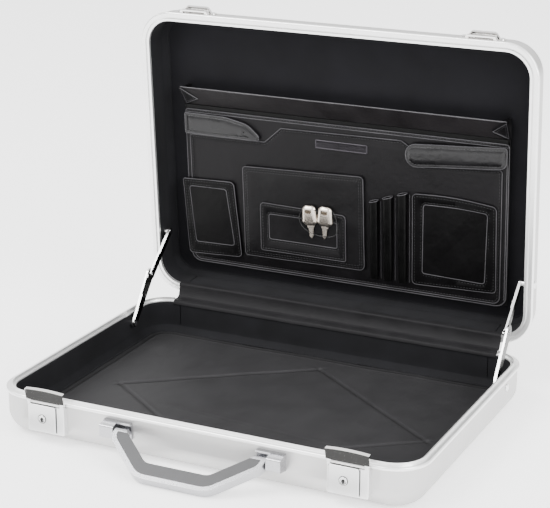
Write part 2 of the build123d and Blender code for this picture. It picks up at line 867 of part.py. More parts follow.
def stay_lower(side):
    """Lower arm: widens to a round head at the knee, with a stiffening flange in front."""
    plane = arm_plane(side, arm_out, base_pivot)
    with BuildPart() as arm:
        with BuildSketch(plane):
            Circle(stay_foot)
            with Locations((stay_arm, 0)):
                Circle(stay_head)
            make_hull()
        extrude(amount=-side * stay_wall)
        with BuildSketch(plane):
            with BuildLine():
                Line((3, stay_foot + 0.1), (flange_end, stay_foot + 1.4))
                Line((flange_end, stay_foot + 1.4), (flange_end, stay_foot + 0.4))
                Line((flange_end, stay_foot + 0.4), (3, stay_foot - 0.9))
                Line((3, stay_foot - 0.9), (3, stay_foot + 0.1))
            make_face()
        extrude(amount=-side * (stay_wall + stay_flange))
        with BuildSketch(plane):
            with Locations((stay_arm, 0)):
                Circle(rivet_head - 0.8)
        extrude(amount=side * rivet_dome)
        with BuildSketch(plane):
            Circle(rivet_radius + 0.06)
        extrude(amount=stay_wall * 2, both=True, mode=Mode.SUBTRACT)
    return arm


def stay_upper(side):
    """Upper arm: flanged bar with a finger tab past the knee."""
    plane = arm_plane(side, arm_in, lid_pivot)
    with BuildPart() as arm:
        with BuildSketch(plane):
            Circle(stay_foot - 0.8)
            with Locations((stay_arm, 0)):
                Circle(stay_foot)
            make_hull()
            with Locations(Location((stay_arm + 3.4, -4.2), -38)):
                RectangleRounded(9.5, 4.0, 1.8)
        extrude(amount=-side * stay_wall)
        with BuildSketch(plane):
            with BuildLine():
                Line((3, -stay_foot + 0.7), (flange_end, -stay_foot + 0.2))
                Line((flange_end, -stay_foot + 0.2), (flange_end, -stay_foot + 1.2))
                Line((flange_end, -stay_foot + 1.2), (3, -stay_foot + 1.7))
                Line((3, -stay_foot + 1.7), (3, -stay_foot + 0.7))
            make_face()
        extrude(amount=-side * (stay_wall + stay_flange))
        with BuildSketch(plane.offset(-side * stay_wall)):
            with Locations((stay_arm, 0)):
                Circle(rivet_head - 0.8)
        extrude(amount=-side * 1.0)
        with BuildSketch(plane):
            Circle(rivet_radius + 0.06)
        extrude(amount=stay_wall * 2, both=True, mode=Mode.SUBTRACT)
    return arm


for side_name, side in sides.items():
    save(stay_lower(side), f"stay_lower_{side_name}")
    save(stay_upper(side), f"stay_upper_{side_name}")


def stay_rivets(plane, arm_place, name):
    """Rivets from the outside of the tray to the arms, shouldered to carry them."""
    outside = case_width / 2 - shell_inset + fit_gap
    with BuildPart() as rivets:
        for side in sides.values():
            with BuildSketch(plane.offset(side * outside)):
                Circle(rivet_head)
            extrude(amount=side * rivet_dome)
            with BuildSketch(plane.offset(side * (outside + 0.01))):
                Circle(rivet_radius)
            extrude(amount=-side * (outside - arm_place + stay_wall + 0.4))
            with BuildSketch(plane.offset(side * (arm_place + 0.1))):
                Circle(rivet_head - 0.6)
            extrude(amount=side * (case_width / 2 - rim_width - arm_place - 0.2))
            with BuildSketch(plane.offset(side * (arm_place - stay_wall - 0.1))):
                Circle(rivet_head - 0.8)
            extrude(amount=-side * 0.8)
        tops = rivets.edges().group_by(Axis.X)
        fillet(tops[0] + tops[-1], 1.0)
    save(rivets, name)


stay_rivets(base_pivot_plane, arm_out, "stay_rivets_base")
stay_rivets(lid_pivot_plane, arm_in, "stay_rivets_lid")

# ---------------------------------------------------------------- organizer in the lid
board_back = board_n - board_wall


def slab(layer, thick, points, radii, holes=()):
    """Flat piece of the organizer: an outline with rounded corners, and any windows."""
    with BuildPart() as piece:
        with BuildSketch(lid_layer(layer)):
            with BuildLine():
                FilletPolyline(*points, radius=radii, close=True)
            make_face()
            for hole_points, hole_radius in holes:
                with BuildLine():
                    FilletPolyline(*hole_points, radius=hole_radius, close=True)
                make_face(mode=Mode.SUBTRACT)
        extrude(amount=thick)
    return piece


def box_points(left, right, low, high):
    """Corners of an upright rectangle on the lid."""
    return [(left, low), (right, low), (right, high), (left, high)]


organizer_panel = slab(
    board_back,
    board_wall,
    box_points(-board_half, board_half, board_bottom, board_top),
    (14, 14, 5, 5),
)
save(organizer_panel, "organizer_panel")

fold_v = board_top + 1.2
fold_n = board_back - layer_gap - pocket_wall / 2 - 0.2
with BuildPart() as file_pocket_front:
    with BuildSketch(lid_side(-board_half + 0.5)):
        with BuildLine():
            Polyline((fold_v - 14, fold_n), (fold_v, fold_n), (pocket_top, pocket_front))
        trace(line_width=pocket_wall)
    extrude(amount=2 * board_half - 1)
save(file_pocket_front, "file_pocket_front")

lean_v, lean_n = pocket_top - fold_v, pocket_front - fold_n
lean_length = hypot(lean_v, lean_n)
behind = pocket_wall / 2 + 0.15
gusset_points = [
    (board_bottom, lid_face + layer_gap),
    (board_bottom, board_back - layer_gap),
    (fold_v - 15, board_back - layer_gap),
    (fold_v - 15, fold_n - behind),
    (fold_v + behind * lean_n / lean_length, fold_n - behind),
    (pocket_top - 1.5, pocket_front - 1.5 * lean_n / lean_v - 1.12 * behind),
    (pocket_top - 1.5, lid_face + layer_gap),
]
for side_name, side in sides.items():
    with BuildPart() as gusset:
        with BuildSketch(lid_side(side * (board_half - 3))):
            with BuildLine():
                Polyline(*gusset_points, close=True)
            make_face()
        extrude(amount=side * gusset_wall)
    save(gusset, f"gusset_{side_name}")

gusset_bottom = slab(
    lid_face + layer_gap,
    board_back - lid_face - 2 * layer_gap,
    box_points(-board_half + 6, board_half - 6, board_bottom, board_bottom + 2),
    (0, 0, 0, 0),
)
save(gusset_bottom, "gusset_bottom")

first_layer = board_n + layer_gap
panel_wall = 2.0
centre_panel = slab(
    first_layer,
    panel_wall,
    [(-88, 163), (79, 163), (79, 196), (69, 204), (-71, 202), (-88, 180)],
    (3, 3, 3, 5, 5, 3),
)
save(centre_panel, "centre_panel")

second_layer = first_layer + panel_wall + layer_gap
name_plate = slab(second_layer, 0.8, box_points(-30, 31, 183, 193.5), (1.5, 1.5, 1.5, 1.5))
save(name_plate, "name_plate")

strap_wall = 2.4
file_strap_left = slab(
    first_layer, strap_wall, box_points(-board_half, -96, 184, 208), (2, 11, 11, 2)
)
save(file_strap_left, "file_strap_left")
file_strap_right = slab(
    second_layer,
    strap_wall,
    [(76, 175), (188, 186), (188, 210.5), (74, 201)],
    (11, 11, 11, 11),
)
save(file_strap_right, "file_strap_right")

window_wall = 3.2
left_window = [(-179, 56), (-131, 57), (-139, 123), (-185, 122)]
right_window = [(95, 59), (165, 55.5), (167, 138), (96, 138)]
centre_window = box_points(-85, -3.5, 73, 102)
window_pocket_left = slab(
    first_layer,
    window_wall,
    [(-187, 41), (-122, 44), (-129, 133), (-188, 131)],
    (4, 6, 8, 4),
    [(left_window, 4)],
)
save(window_pocket_left, "window_pocket_left")
window_pocket_right = slab(
    first_layer,
    window_wall,
    [(83, 43), (178, 46), (177, 147), (83, 149)],
    (6, 6, 10, 8),
    [(right_window, 4)],
)
save(window_pocket_right, "window_pocket_right")

centre_wall = 3.6
centre_pocket = slab(
    first_layer,
    centre_wall,
    [(-118, 48), (32, 50), (32, 161), (-116, 153)],
    (4, 6, 14, 4),
)
save(centre_pocket, "centre_pocket")
centre_layer = first_layer + centre_wall + layer_gap
card_wall = 2.2
card_pocket = slab(
    centre_layer,
    card_wall,
    [(-96, 58), (7, 58), (7, 112), (-96, 115)],
    (3, 3, 6, 6),
    [(centre_window, 3)],
)
save(card_pocket, "card_pocket")

film_wall = 0.4
with BuildPart() as pocket_windows:
    for layer, window in (
        (first_layer + 1.0, left_window),
        (first_layer + 1.0, right_window),
        (centre_layer + 0.4, centre_window),
    ):
        with BuildSketch(lid_layer(layer)):
            with BuildLine():
                FilletPolyline(*window, radius=4, close=True)
            make_face()
            offset(amount=-layer_gap)
        extrude(amount=film_wall)
save(pocket_windows, "pocket_windows")

# three pen sleeves: left edge, right edge and top of each
sleeves = [(34.5, 44.5, 133.0), (50.0, 61.0, 139.0), (67.0, 77.5, 145.0)]
sleeve_bottom = 43.0
sleeve_depth = 8.6
sleeve_wall = 0.8
for number, (left, right, top) in enumerate(sleeves, start=1):
    middle = (left + right) / 2
    axis_n = first_layer + sleeve_depth / 2
    with BuildPart() as pen_sleeve:
        with BuildSketch(
            Plane(origin=on_lid(middle, sleeve_bottom, axis_n), x_dir=(1, 0, 0), z_dir=lid_up)
        ):
            RectangleRounded(right - left, sleeve_depth, 3.4)
        extrude(amount=top - sleeve_bottom)
        with BuildSketch(
            Plane(
                origin=on_lid(middle, sleeve_bottom + 2 * sleeve_wall, axis_n),
                x_dir=(1, 0, 0),
                z_dir=lid_up,
            )
        ):
            RectangleRounded(
                right - left - 2 * sleeve_wall, sleeve_depth - 2 * sleeve_wall, 3.4 - sleeve_wall
            )
        extrude(amount=top - sleeve_bottom, mode=Mode.SUBTRACT)
    save(pen_sleeve, f"pen_sleeve_{number}")

# two keys on a thread, lying on the card pocket
key_layer = centre_layer + card_wall + layer_gap
key_wall = 1.3
key_head = 9.0
key_blade = 4.6
key_places = [(-31.0, 109.0, -82.0), (-15.0, 110.0, -96.0)]
with BuildPart() as keys:
    for x, v, angle in key_places:
        with BuildSketch(lid_layer(key_layer)):
            with Locations(Location((x, v), angle)):
                Ellipse(key_head, key_head * 0.82)
                with Locations((key_head + 9, 0)):
                    Rectangle(22, key_blade)
                with Locations((2 - key_head / 2 - 1, 0)):
                    Circle(2.2, mode=Mode.SUBTRACT)
        extrude(amount=key_wall)
save(keys, "keys")

with BuildPart() as key_thread:
    with BuildSketch(lid_layer(key_layer + key_wall + layer_gap)):
        with BuildLine():
            FilletPolyline(
                (-31, 112), (-48, 104), (-41, 90), (-9, 85), (-2, 93), (-15, 112), radius=4, close=True
            )
        trace(line_width=0.9)
    extrude(amount=0.9)
save(key_thread, "key_thread")

print(len(finished), "pieces")
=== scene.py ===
import logging
import math
from collections.abc import Callable, Iterable
from dataclasses import dataclass, field
from enum import Enum

import bmesh
import bpy
from mathutils import Matrix, Vector, noise


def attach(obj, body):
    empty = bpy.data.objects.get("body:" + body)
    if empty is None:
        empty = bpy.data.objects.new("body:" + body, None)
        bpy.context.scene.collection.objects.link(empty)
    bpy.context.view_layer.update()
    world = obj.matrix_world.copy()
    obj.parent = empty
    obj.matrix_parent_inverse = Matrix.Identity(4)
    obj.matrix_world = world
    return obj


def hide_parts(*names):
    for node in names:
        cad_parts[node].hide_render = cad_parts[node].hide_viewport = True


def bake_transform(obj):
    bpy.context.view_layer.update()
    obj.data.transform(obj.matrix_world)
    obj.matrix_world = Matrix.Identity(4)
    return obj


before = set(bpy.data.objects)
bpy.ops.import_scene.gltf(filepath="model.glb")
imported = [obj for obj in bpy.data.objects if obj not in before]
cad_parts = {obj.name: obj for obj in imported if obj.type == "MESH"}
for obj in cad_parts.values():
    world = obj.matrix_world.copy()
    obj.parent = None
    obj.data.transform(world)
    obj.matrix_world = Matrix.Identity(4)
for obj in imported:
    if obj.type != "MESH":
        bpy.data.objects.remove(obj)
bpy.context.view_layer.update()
log = logging.getLogger("case")
MM = 0.001
Socket = bpy.types.NodeSocket
Color = tuple[float, float, float]
Pair = tuple[float, float]


# ---------------------------------------------------------------- node graphs and finishes
class Graph:
    """A material's node tree, with short calls for the nodes that the finishes share."""

    def __init__(self, name: str) -> None:
        """Start an empty material.

        Args:
            name: the material's name.
        """
        self.material = bpy.data.materials.new(name)
        self.material.use_nodes = True
        self.tree = self.material.node_tree
        self.tree.nodes.clear()
        self.out = self.tree.nodes.new("ShaderNodeOutputMaterial")
        self.shader = self.tree.nodes.new("ShaderNodeBsdfPrincipled")
        self.link(self.shader.outputs[0], self.out.inputs[0])
        self.place = self.tree.nodes.new("ShaderNodeTexCoord").outputs["Object"]

    def link(self, a: Socket, b: Socket) -> None:
        """Join two sockets."""
        self.tree.links.new(a, b)

    def fix(self, **values: float | tuple) -> None:
        """Set constants on the shader's own sockets, named with _ for a space."""
        for name, value in values.items():
            self.shader.inputs[name.replace("_", " ")].default_value = value

    def mapped(self, scale: tuple[float, float, float], turn: float = 0.0) -> Socket:
        """Object coordinates in millimetres, scaled by axis and turned about Z.

        Args:
            scale: factor along each axis.
            turn: degrees about Z.

        Returns:
            The vector socket.
        """
        node = self.tree.nodes.new("ShaderNodeMapping")
        node.inputs["Scale"].default_value = [s / MM for s in scale]
        node.inputs["Rotation"].default_value = (0, 0, math.radians(turn))
        self.link(self.place, node.inputs["Vector"])
        return node.outputs[0]

    def noise(self, where: Socket, scale: float, detail: float = 2.0, rough: float = 0.5) -> Socket:
        """Fractal noise on a vector, as a factor."""
        node = self.tree.nodes.new("ShaderNodeTexNoise")
        node.inputs["Scale"].default_value = scale
        node.inputs["Detail"].default_value = detail
        node.inputs["Roughness"].default_value = rough
        self.link(where, node.inputs["Vector"])
        return node.outputs[0]

    def cells(self, where: Socket, scale: float, edges: bool = False) -> Socket:
        """Voronoi cells on a vector: distance to the centre, or to the cell's edge."""
        node = self.tree.nodes.new("ShaderNodeTexVoronoi")
        node.feature = "DISTANCE_TO_EDGE" if edges else "F1"
        node.inputs["Scale"].default_value = scale
        self.link(where, node.inputs["Vector"])
        return node.outputs["Distance"]

    def spread(self, value: Socket, low: float, high: float,
               start: float = 0.0, end: float = 1.0) -> Socket:
        """Map a value from start..end onto low..high."""
        node = self.tree.nodes.new("ShaderNodeMapRange")
        for name, number in (("From Min", start), ("From Max", end), ("To Min", low), ("To Max", high)):
            node.inputs[name].default_value = number
        self.link(value, node.inputs["Value"])
        return node.outputs[0]

    def tint(self, value: Socket, dark: tuple, light: tuple,
             start: float = 0.3, end: float = 0.7) -> Socket:
        """Colour ramp between two colours."""
        node = self.tree.nodes.new("ShaderNodeValToRGB")
        node.color_ramp.elements[0].position = start
        node.color_ramp.elements[1].position = end
        node.color_ramp.elements[0].color = (*dark, 1)
        node.color_ramp.elements[1].color = (*light, 1)
        self.link(value, node.inputs[0])
        return node.outputs[0]

    def product(self, color: Socket, factor: Socket) -> Socket:
        """Two colours multiplied."""
        mixed = self.tree.nodes.new("ShaderNodeVectorMath")
        mixed.operation = "MULTIPLY"
        self.link(color, mixed.inputs[0])
        self.link(factor, mixed.inputs[1])
        return mixed.outputs[0]

    def painted_relief_light(self, color: Socket) -> Socket:
        """Painted light and shade on relief: lighten ridges and darken creases, by the piece's own attribute.
        """
        relief_shade = self.tree.nodes.new("ShaderNodeAttribute")
        relief_shade.attribute_name = "painted_relief_shade"
        return self.product(color, self.spread(relief_shade.outputs["Fac"], 0.25, 1.75, -1.0, 1.0))

    def painted_side_shade(self, color: Socket, share: float) -> Socket:
        """Painted shade: darken a colour to a share of itself on faces that look along the piece's X axis."""
        facing = self.tree.nodes.new("ShaderNodeSeparateXYZ")
        self.link(self.place.node.outputs["Normal"], facing.inputs[0])
        size = self.tree.nodes.new("ShaderNodeMath")
        size.operation = "ABSOLUTE"
        self.link(facing.outputs["X"], size.inputs[0])
        ramp = self.tint(size.outputs[0], (1, 1, 1), (share, share, share), 0.86, 0.97)
        return self.product(color, ramp)

    def bump(self, height: Socket, depth: float, strength: float = 1.0,
             after: Socket | None = None) -> Socket:
        """Bump of a depth in millimetres, added to an earlier one."""
        node = self.tree.nodes.new("ShaderNodeBump")
        node.inputs["Distance"].default_value = depth * MM
        node.inputs["Strength"].default_value = strength
        self.link(height, node.inputs["Height"])
        if after is not None:
            self.link(after, node.inputs["Normal"])
        self.link(node.outputs[0], self.shader.inputs["Normal"])
        return node.outputs[0]


@dataclass(frozen=True)
class Alloy:
    """Metal surface: aluminium, steel or chrome, with grain, streaks, uneven tone and gloss, and for the
    stays painted shade on faces along X.
    """

    name: str
    color: Color
    rough: float = 0.3
    rough_spread: float = 0.08
    metallic: float = 1.0
    grain: float = 0.0
    grain_size: float = 0.6
    streak: tuple[float, float, float] = (1.0, 1.0, 1.0)
    streak_depth: float = 0.0
    shade: float = 0.03
    # share of the colour left on faces along X: painted shade
    side_shade: float = 1.0

    def build(self) -> bpy.types.Material:
        """Make the material."""
        g = Graph(self.name)
        g.fix(Metallic=self.metallic, Specular_IOR_Level=0.5)
        broad = g.noise(g.mapped((1, 1, 1)), 0.02, 3.0, 0.6)
        dark = tuple(c * (1 - self.shade) for c in self.color)
        light = tuple(min(1.0, c * (1 + self.shade)) for c in self.color)
        color = g.tint(broad, dark, light)
        # Painted shade on faces along X, where that share is below 1.
        g.link(g.painted_side_shade(color, self.side_shade) if self.side_shade < 1 else color, g.shader.inputs["Base Color"])
        fine = g.noise(g.mapped(self.streak), 1.2, 4.0, 0.65)
        g.link(
            g.spread(fine, self.rough - self.rough_spread, self.rough + self.rough_spread, 0.25, 0.75),
            g.shader.inputs["Roughness"],
        )
        last = None
        if self.grain > 0:
            last = g.bump(g.noise(g.mapped((1, 1, 1)), 1 / self.grain_size, 2.0), self.grain)
        if self.streak_depth > 0:
            g.bump(fine, self.streak_depth, 1.0, last)
        return g.material


@dataclass(frozen=True)
class Hide:
    """Black leather with a pebbled grain, creases and a soft gloss."""

    name: str
    color: Color
    light: Color
    rough: float = 0.42
    grain: float = 0.12
    grain_size: float = 1.3
    coat: float = 0.1
    specular: float = 0.3

    def build(self) -> bpy.types.Material:
        """Make the material."""
        g = Graph(self.name)
        g.fix(Coat_Weight=self.coat, Coat_Roughness=0.32, Specular_IOR_Level=self.specular)
        where = g.mapped((1, 1, 1))
        broad = g.noise(where, 0.035, 3.0, 0.6)
        g.link(g.tint(broad, self.color, self.light), g.shader.inputs["Base Color"])
        g.link(g.spread(broad, self.rough - 0.08, self.rough + 0.1, 0.3, 0.7),
               g.shader.inputs["Roughness"])
        pebble = g.bump(g.cells(where, 1 / self.grain_size, True), self.grain, 0.5)
        wrinkle = g.bump(g.noise(g.mapped((1, 2.2, 1), 20), 0.16, 3.0), 0.5, 0.6, pebble)
        g.bump(g.noise(where, 0.05, 2.0), 1.6, 0.5, wrinkle)
        return g.material


@dataclass(frozen=True)
class Cloth:
    """Matt lining cloth over padding, with a fine woven face."""

    name: str
    color: Color
    light: Color
    rough: float = 0.8
    sheen: float = 0.15
    weave: float = 0.06
    ripple: float = 0.6
    ripple_size: float = 45.0
    specular: float = 0.3
    # whether ridges get a painted highlight and creases a painted shade
    paints_relief_shade: bool = False

    def build(self) -> bpy.types.Material:
        """Make the material."""
        g = Graph(self.name)
        g.fix(Sheen_Weight=self.sheen, Sheen_Roughness=0.45, Specular_IOR_Level=self.specular)
        where = g.mapped((1, 1, 1))
        broad = g.noise(where, 0.03, 4.0, 0.6)
        color = g.tint(broad, self.color, self.light)
        # Where set, painted light and shade on the piece's relief.
        g.link(g.painted_relief_light(color) if self.paints_relief_shade else color, g.shader.inputs["Base Color"])
        g.link(g.spread(broad, self.rough - 0.08, self.rough + 0.06), g.shader.inputs["Roughness"])
        woven = g.bump(g.cells(g.mapped((1, 1.6, 1)), 1.1), self.weave, 0.6)
        g.bump(g.noise(where, 1 / self.ripple_size, 2.0), self.ripple, 0.6, woven)
        return g.material


@dataclass(frozen=True)
class Moulded:
    """Moulded plastic, with a fine spark-eroded texture."""

    name: str
    color: Color
    rough: float = 0.5
    texture: float = 0.05

    def build(self) -> bpy.types.Material:
        """Make the material."""
        g = Graph(self.name)
        where = g.mapped((1, 1, 1))
        broad = g.noise(where, 0.08, 3.0)
        light = tuple(c * 1.12 for c in self.color)
        g.link(g.tint(broad, self.color, light), g.shader.inputs["Base Color"])
        g.link(g.spread(broad, self.rough - 0.05, self.rough + 0.07), g.shader.inputs["Roughness"])
        g.bump(g.noise(where, 2.4, 2.0), self.texture, 0.6)
        return g.material


@dataclass(frozen=True)
class Film:
    """Clear plastic film with a little haze."""

    name: str

    def build(self) -> bpy.types.Material:
        """Make the material."""
        g = Graph(self.name)
        g.fix(IOR=1.45, Alpha=0.3, Base_Color=(0.02, 0.019, 0.021, 1))
        haze = g.noise(g.mapped((1, 1, 1)), 0.06, 3.0)
        g.link(g.spread(haze, 0.12, 0.3), g.shader.inputs["Roughness"])
        g.bump(g.noise(g.mapped((1, 1, 1)), 0.03, 1.0), 1.2, 0.4)
        return g.material


class Look(Enum):
    """The finishes of the case, by what they cover."""

    TRAY = Alloy("tray_alloy", (0.54, 0.535, 0.53), rough=0.4, rough_spread=0.06, metallic=0.9,
                 grain=0.02, grain_size=0.7)
    RIM = Alloy("rim_alloy", (0.9, 0.9, 0.895), rough=0.34, rough_spread=0.03, metallic=0.85,
                streak_depth=0.001)
    CHROME = Alloy("hasp_chrome", (0.74, 0.73, 0.72), rough=0.06, rough_spread=0.02)
    SATIN = Alloy("lock_satin", (0.8, 0.8, 0.8), rough=0.38, rough_spread=0.04)
    # Black for the strips of painted gap shadow and keyhole shade on the locks, and for the studio's flag
    # cards.
    SHADOW_AND_FLAG_BLACK = Moulded("black_gap_shadow_and_flag", (0.004, 0.004, 0.004), rough=0.6, texture=0.01)
    BRIGHT = Alloy("pin_chrome", (0.82, 0.82, 0.82), rough=0.14, rough_spread=0.05)
    CAST = Alloy("cast_alloy", (0.42, 0.42, 0.435), rough=0.25, rough_spread=0.06, grain=0.01,
                 grain_size=0.4)
    NICKEL = Alloy("nickel_steel", (0.72, 0.71, 0.69), rough_spread=0.1, streak=(0.1, 2, 2),
                   streak_depth=0.01)
    LINING = Cloth("lining_cloth", (0.0045, 0.0045, 0.0052), (0.008, 0.008, 0.0095), sheen=0.04,
                   specular=0.14)
    # The floor vinyl carries painted light and shade on its embossed ridges and grooves.
    FLOOR = Cloth("floor_vinyl", (0.0122, 0.0119, 0.0128), (0.017, 0.0166, 0.0178), rough=0.58,
                  sheen=0.03, weave=0.03, ripple=0.35, ripple_size=60.0, specular=0.2, paints_relief_shade=True)
    LID_CLOTH = Cloth("lid_cloth", (0.0046, 0.0045, 0.0056), (0.0072, 0.0071, 0.0088), rough=0.75,
                      sheen=0.04, weave=0.04, ripple=0.3, ripple_size=70.0, specular=0.1)
    LEATHER = Hide("organizer_leather", (0.0026, 0.0024, 0.0028), (0.0048, 0.0045, 0.005), grain=0.14,
                   coat=0.03, specular=0.12)
    WIDE = Hide("wide_leather", (0.0032, 0.0029, 0.0034), (0.0058, 0.0053, 0.006), rough=0.44, coat=0.03,
                specular=0.11)
    FRAME = Hide("frame_leather", (0.0009, 0.0008, 0.0009), (0.0017, 0.0016, 0.0018), grain=0.16,
                 coat=0.02, specular=0.075)
    PEN = Hide("pen_leather", (0.0006, 0.0006, 0.0006), (0.0012, 0.0012, 0.0012), rough=0.38, grain=0.1,
               grain_size=1.2, coat=0.02, specular=0.085)
    FLAP = Hide("flap_hide", (0.009, 0.0087, 0.0094), (0.0128, 0.0124, 0.0134), rough=0.62, grain=0.06,
                grain_size=0.9, coat=0.0, specular=0.12)
    FILE = Hide("file_hide", (0.0072, 0.0063, 0.0069), (0.011, 0.0098, 0.0106), rough=0.5, grain=0.08,
                grain_size=1.0, coat=0.04, specular=0.14)
    STRAP = Hide("strap_hide", (0.0034, 0.0032, 0.0036), (0.0075, 0.0071, 0.0079), rough=0.27, grain=0.05,
                 grain_size=1.0, specular=0.24)
    # Piping leather, far lighter than the leather it edges: painted highlight for the light that the rolled
    # edges catch.
    BINDING_HIGHLIGHT = Hide("binding_hide_painted_highlight", (0.03, 0.029, 0.032), (0.05, 0.048, 0.052), rough=0.35, grain=0.03,
                   grain_size=0.7, coat=0.16)
    THREAD = Cloth("black_thread", (0.018, 0.018, 0.019), (0.035, 0.035, 0.037), rough=0.6, sheen=0.2,
                   weave=0.02, ripple=0.05, ripple_size=2.0)
    FILM = Film("window_film")
    GRIP = Moulded("grip_rubber", (0.036, 0.036, 0.038), rough=0.4, texture=0.03)
    PLATE = Alloy("plate_metal", (0.046, 0.043, 0.048), rough=0.42, rough_spread=0.05)
    KEY = Alloy("key_nickel", (0.62, 0.56, 0.49), rough_spread=0.12)
    # The stays' webs, facing along X, are painted near black: painted shade for their dark reflections.
    STAY = Alloy("stay_steel", (0.86, 0.86, 0.85), rough=0.2, rough_spread=0.06, side_shade=0.05)
    COTTON = Cloth("loop_cotton", (0.01, 0.01, 0.01), (0.025, 0.025, 0.025), rough=0.9, sheen=0.3,
                   weave=0.02, ripple=0.1, ripple_size=3.0)


class Paint:
    """Keeps one material for each finish."""

    made: dict[Look, bpy.types.Material] = {}

    @classmethod
    def get(cls, look: Look) -> bpy.types.Material:
        """The finish's material, made at its first use."""
        if look not in cls.made:
            cls.made[look] = look.value.build()
        return cls.made[look]

    @classmethod
    def node(cls, name: str, look: Look) -> None:
        """Dress a CAD node in a finish."""
        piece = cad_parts[name]
        piece.data.materials.clear()
        piece.data.materials.append(cls.get(look))


# ---------------------------------------------------------------- frames and drawing
HALF_WIDTH = 225.0          # over the rims, in millimetres
HALF_DEPTH = 163.0
CORNER = 36.5
LAND = 45.5                 # the base's land above the table
OPEN = 85.5                 # how far the lid stands open, degrees
HINGE_BACK = 6.0            # hinge pin behind the rims
RIM_GAP = 0.3


@dataclass(frozen=True)
class Axes:
    """Axes that a piece is drawn in: x across, v along, n out of the open face.

    Attributes:
        origin: where x, v and n are 0, in millimetres.
        along: direction of v.
        out: direction of n.
    """

    origin: Vector
    along: Vector
    out: Vector

    def matrix(self) -> Matrix:
        """Drawing in millimetres to the row frame in metres."""
        turned = Matrix((Vector((1, 0, 0)), self.along, self.out)).transposed().to_4x4()
        return Matrix.Scale(MM, 4) @ Matrix.Translation(self.origin) @ turned

    def point(self, x: float, v: float, n: float) -> Vector:
        """A drawn point in the row frame, in metres."""
        return self.matrix() @ Vector((x, v, n))


def lid_axes() -> Axes:
    """The open lid: v climbs from the hinge side, n leaves the open face."""
    turn = math.radians(OPEN)
    up = Vector((0, -math.cos(turn), math.sin(turn)))
    out = Vector((0, -math.sin(turn), -math.cos(turn)))
    pin = Vector((0, HALF_DEPTH + HINGE_BACK, LAND + RIM_GAP / 2))
    return Axes(pin + HINGE_BACK * up - RIM_GAP / 2 * out, up, out)


BASE = Axes(Vector((0, 0, LAND)), Vector((0, 1, 0)), Vector((0, 0, 1)))
LID = lid_axes()
Points = list[Pair]
Faces = list[bmesh.types.BMFace]


@dataclass(frozen=True)
class Outline:
    """Outline with rounded corners.

    Attributes:
        corners: its corners, counter-clockwise, as x and v.
        radii: radius of each corner.
        cuts: points along each side between its roundings.
        arcs: segments in each rounding.
    """

    corners: Points
    radii: list[float]
    cuts: list[int] = field(default_factory=list)
    arcs: int = 5

    def path(self, inset: float, n: float) -> list[Vector]:
        """Points of the outline drawn in by inset, at height n."""
        count = len(self.corners)
        places = [Vector(c) for c in self.corners]
        ways = [(places[(i + 1) % count] - places[i]).normalized() for i in range(count)]
        runs = []
        for i, place in enumerate(places):
            before, after = ways[i - 1], ways[i]
            normal = Vector((-before.y - after.y, before.x + after.x))
            spot = place + normal * (inset / (1 + before.dot(after)))
            turn = math.acos(max(-1.0, min(1.0, before.dot(after))))
            convex = before.x * after.y - before.y * after.x >= 0
            radius = max(0.12, self.radii[i] - inset if convex else self.radii[i] + inset)
            back = max(0.05, radius * math.tan(turn / 2))
            weight = math.cos(turn / 2)
            arc = []
            for k in range(self.arcs + 1):
                t = k / self.arcs
                shares = ((1 - t) ** 2, 2 * t * (1 - t) * weight, t ** 2)
                ends = (spot - before * back, spot, spot + after * back)
                arc.append(sum((e * w for e, w in zip(ends, shares)), Vector((0, 0))) / sum(shares))
            runs.append(arc)
        cuts = self.cuts or [int((places[(i + 1) % count] - places[i]).length / 12) for i in range(count)]
        path = []
        for i, arc in enumerate(runs):
            path += arc
            goal = runs[(i + 1) % count][0]
            path += [arc[-1].lerp(goal, (k + 1) / (cuts[i] + 1)) for k in range(cuts[i])]
        return [Vector((*p, n)) for p in path]


def box_outline(left: float, right: float, low: float, high: float, radius: float) -> Outline:
    """Upright rectangle with equal roundings."""
    return Outline([(left, low), (right, low), (right, high), (left, high)], [radius] * 4)


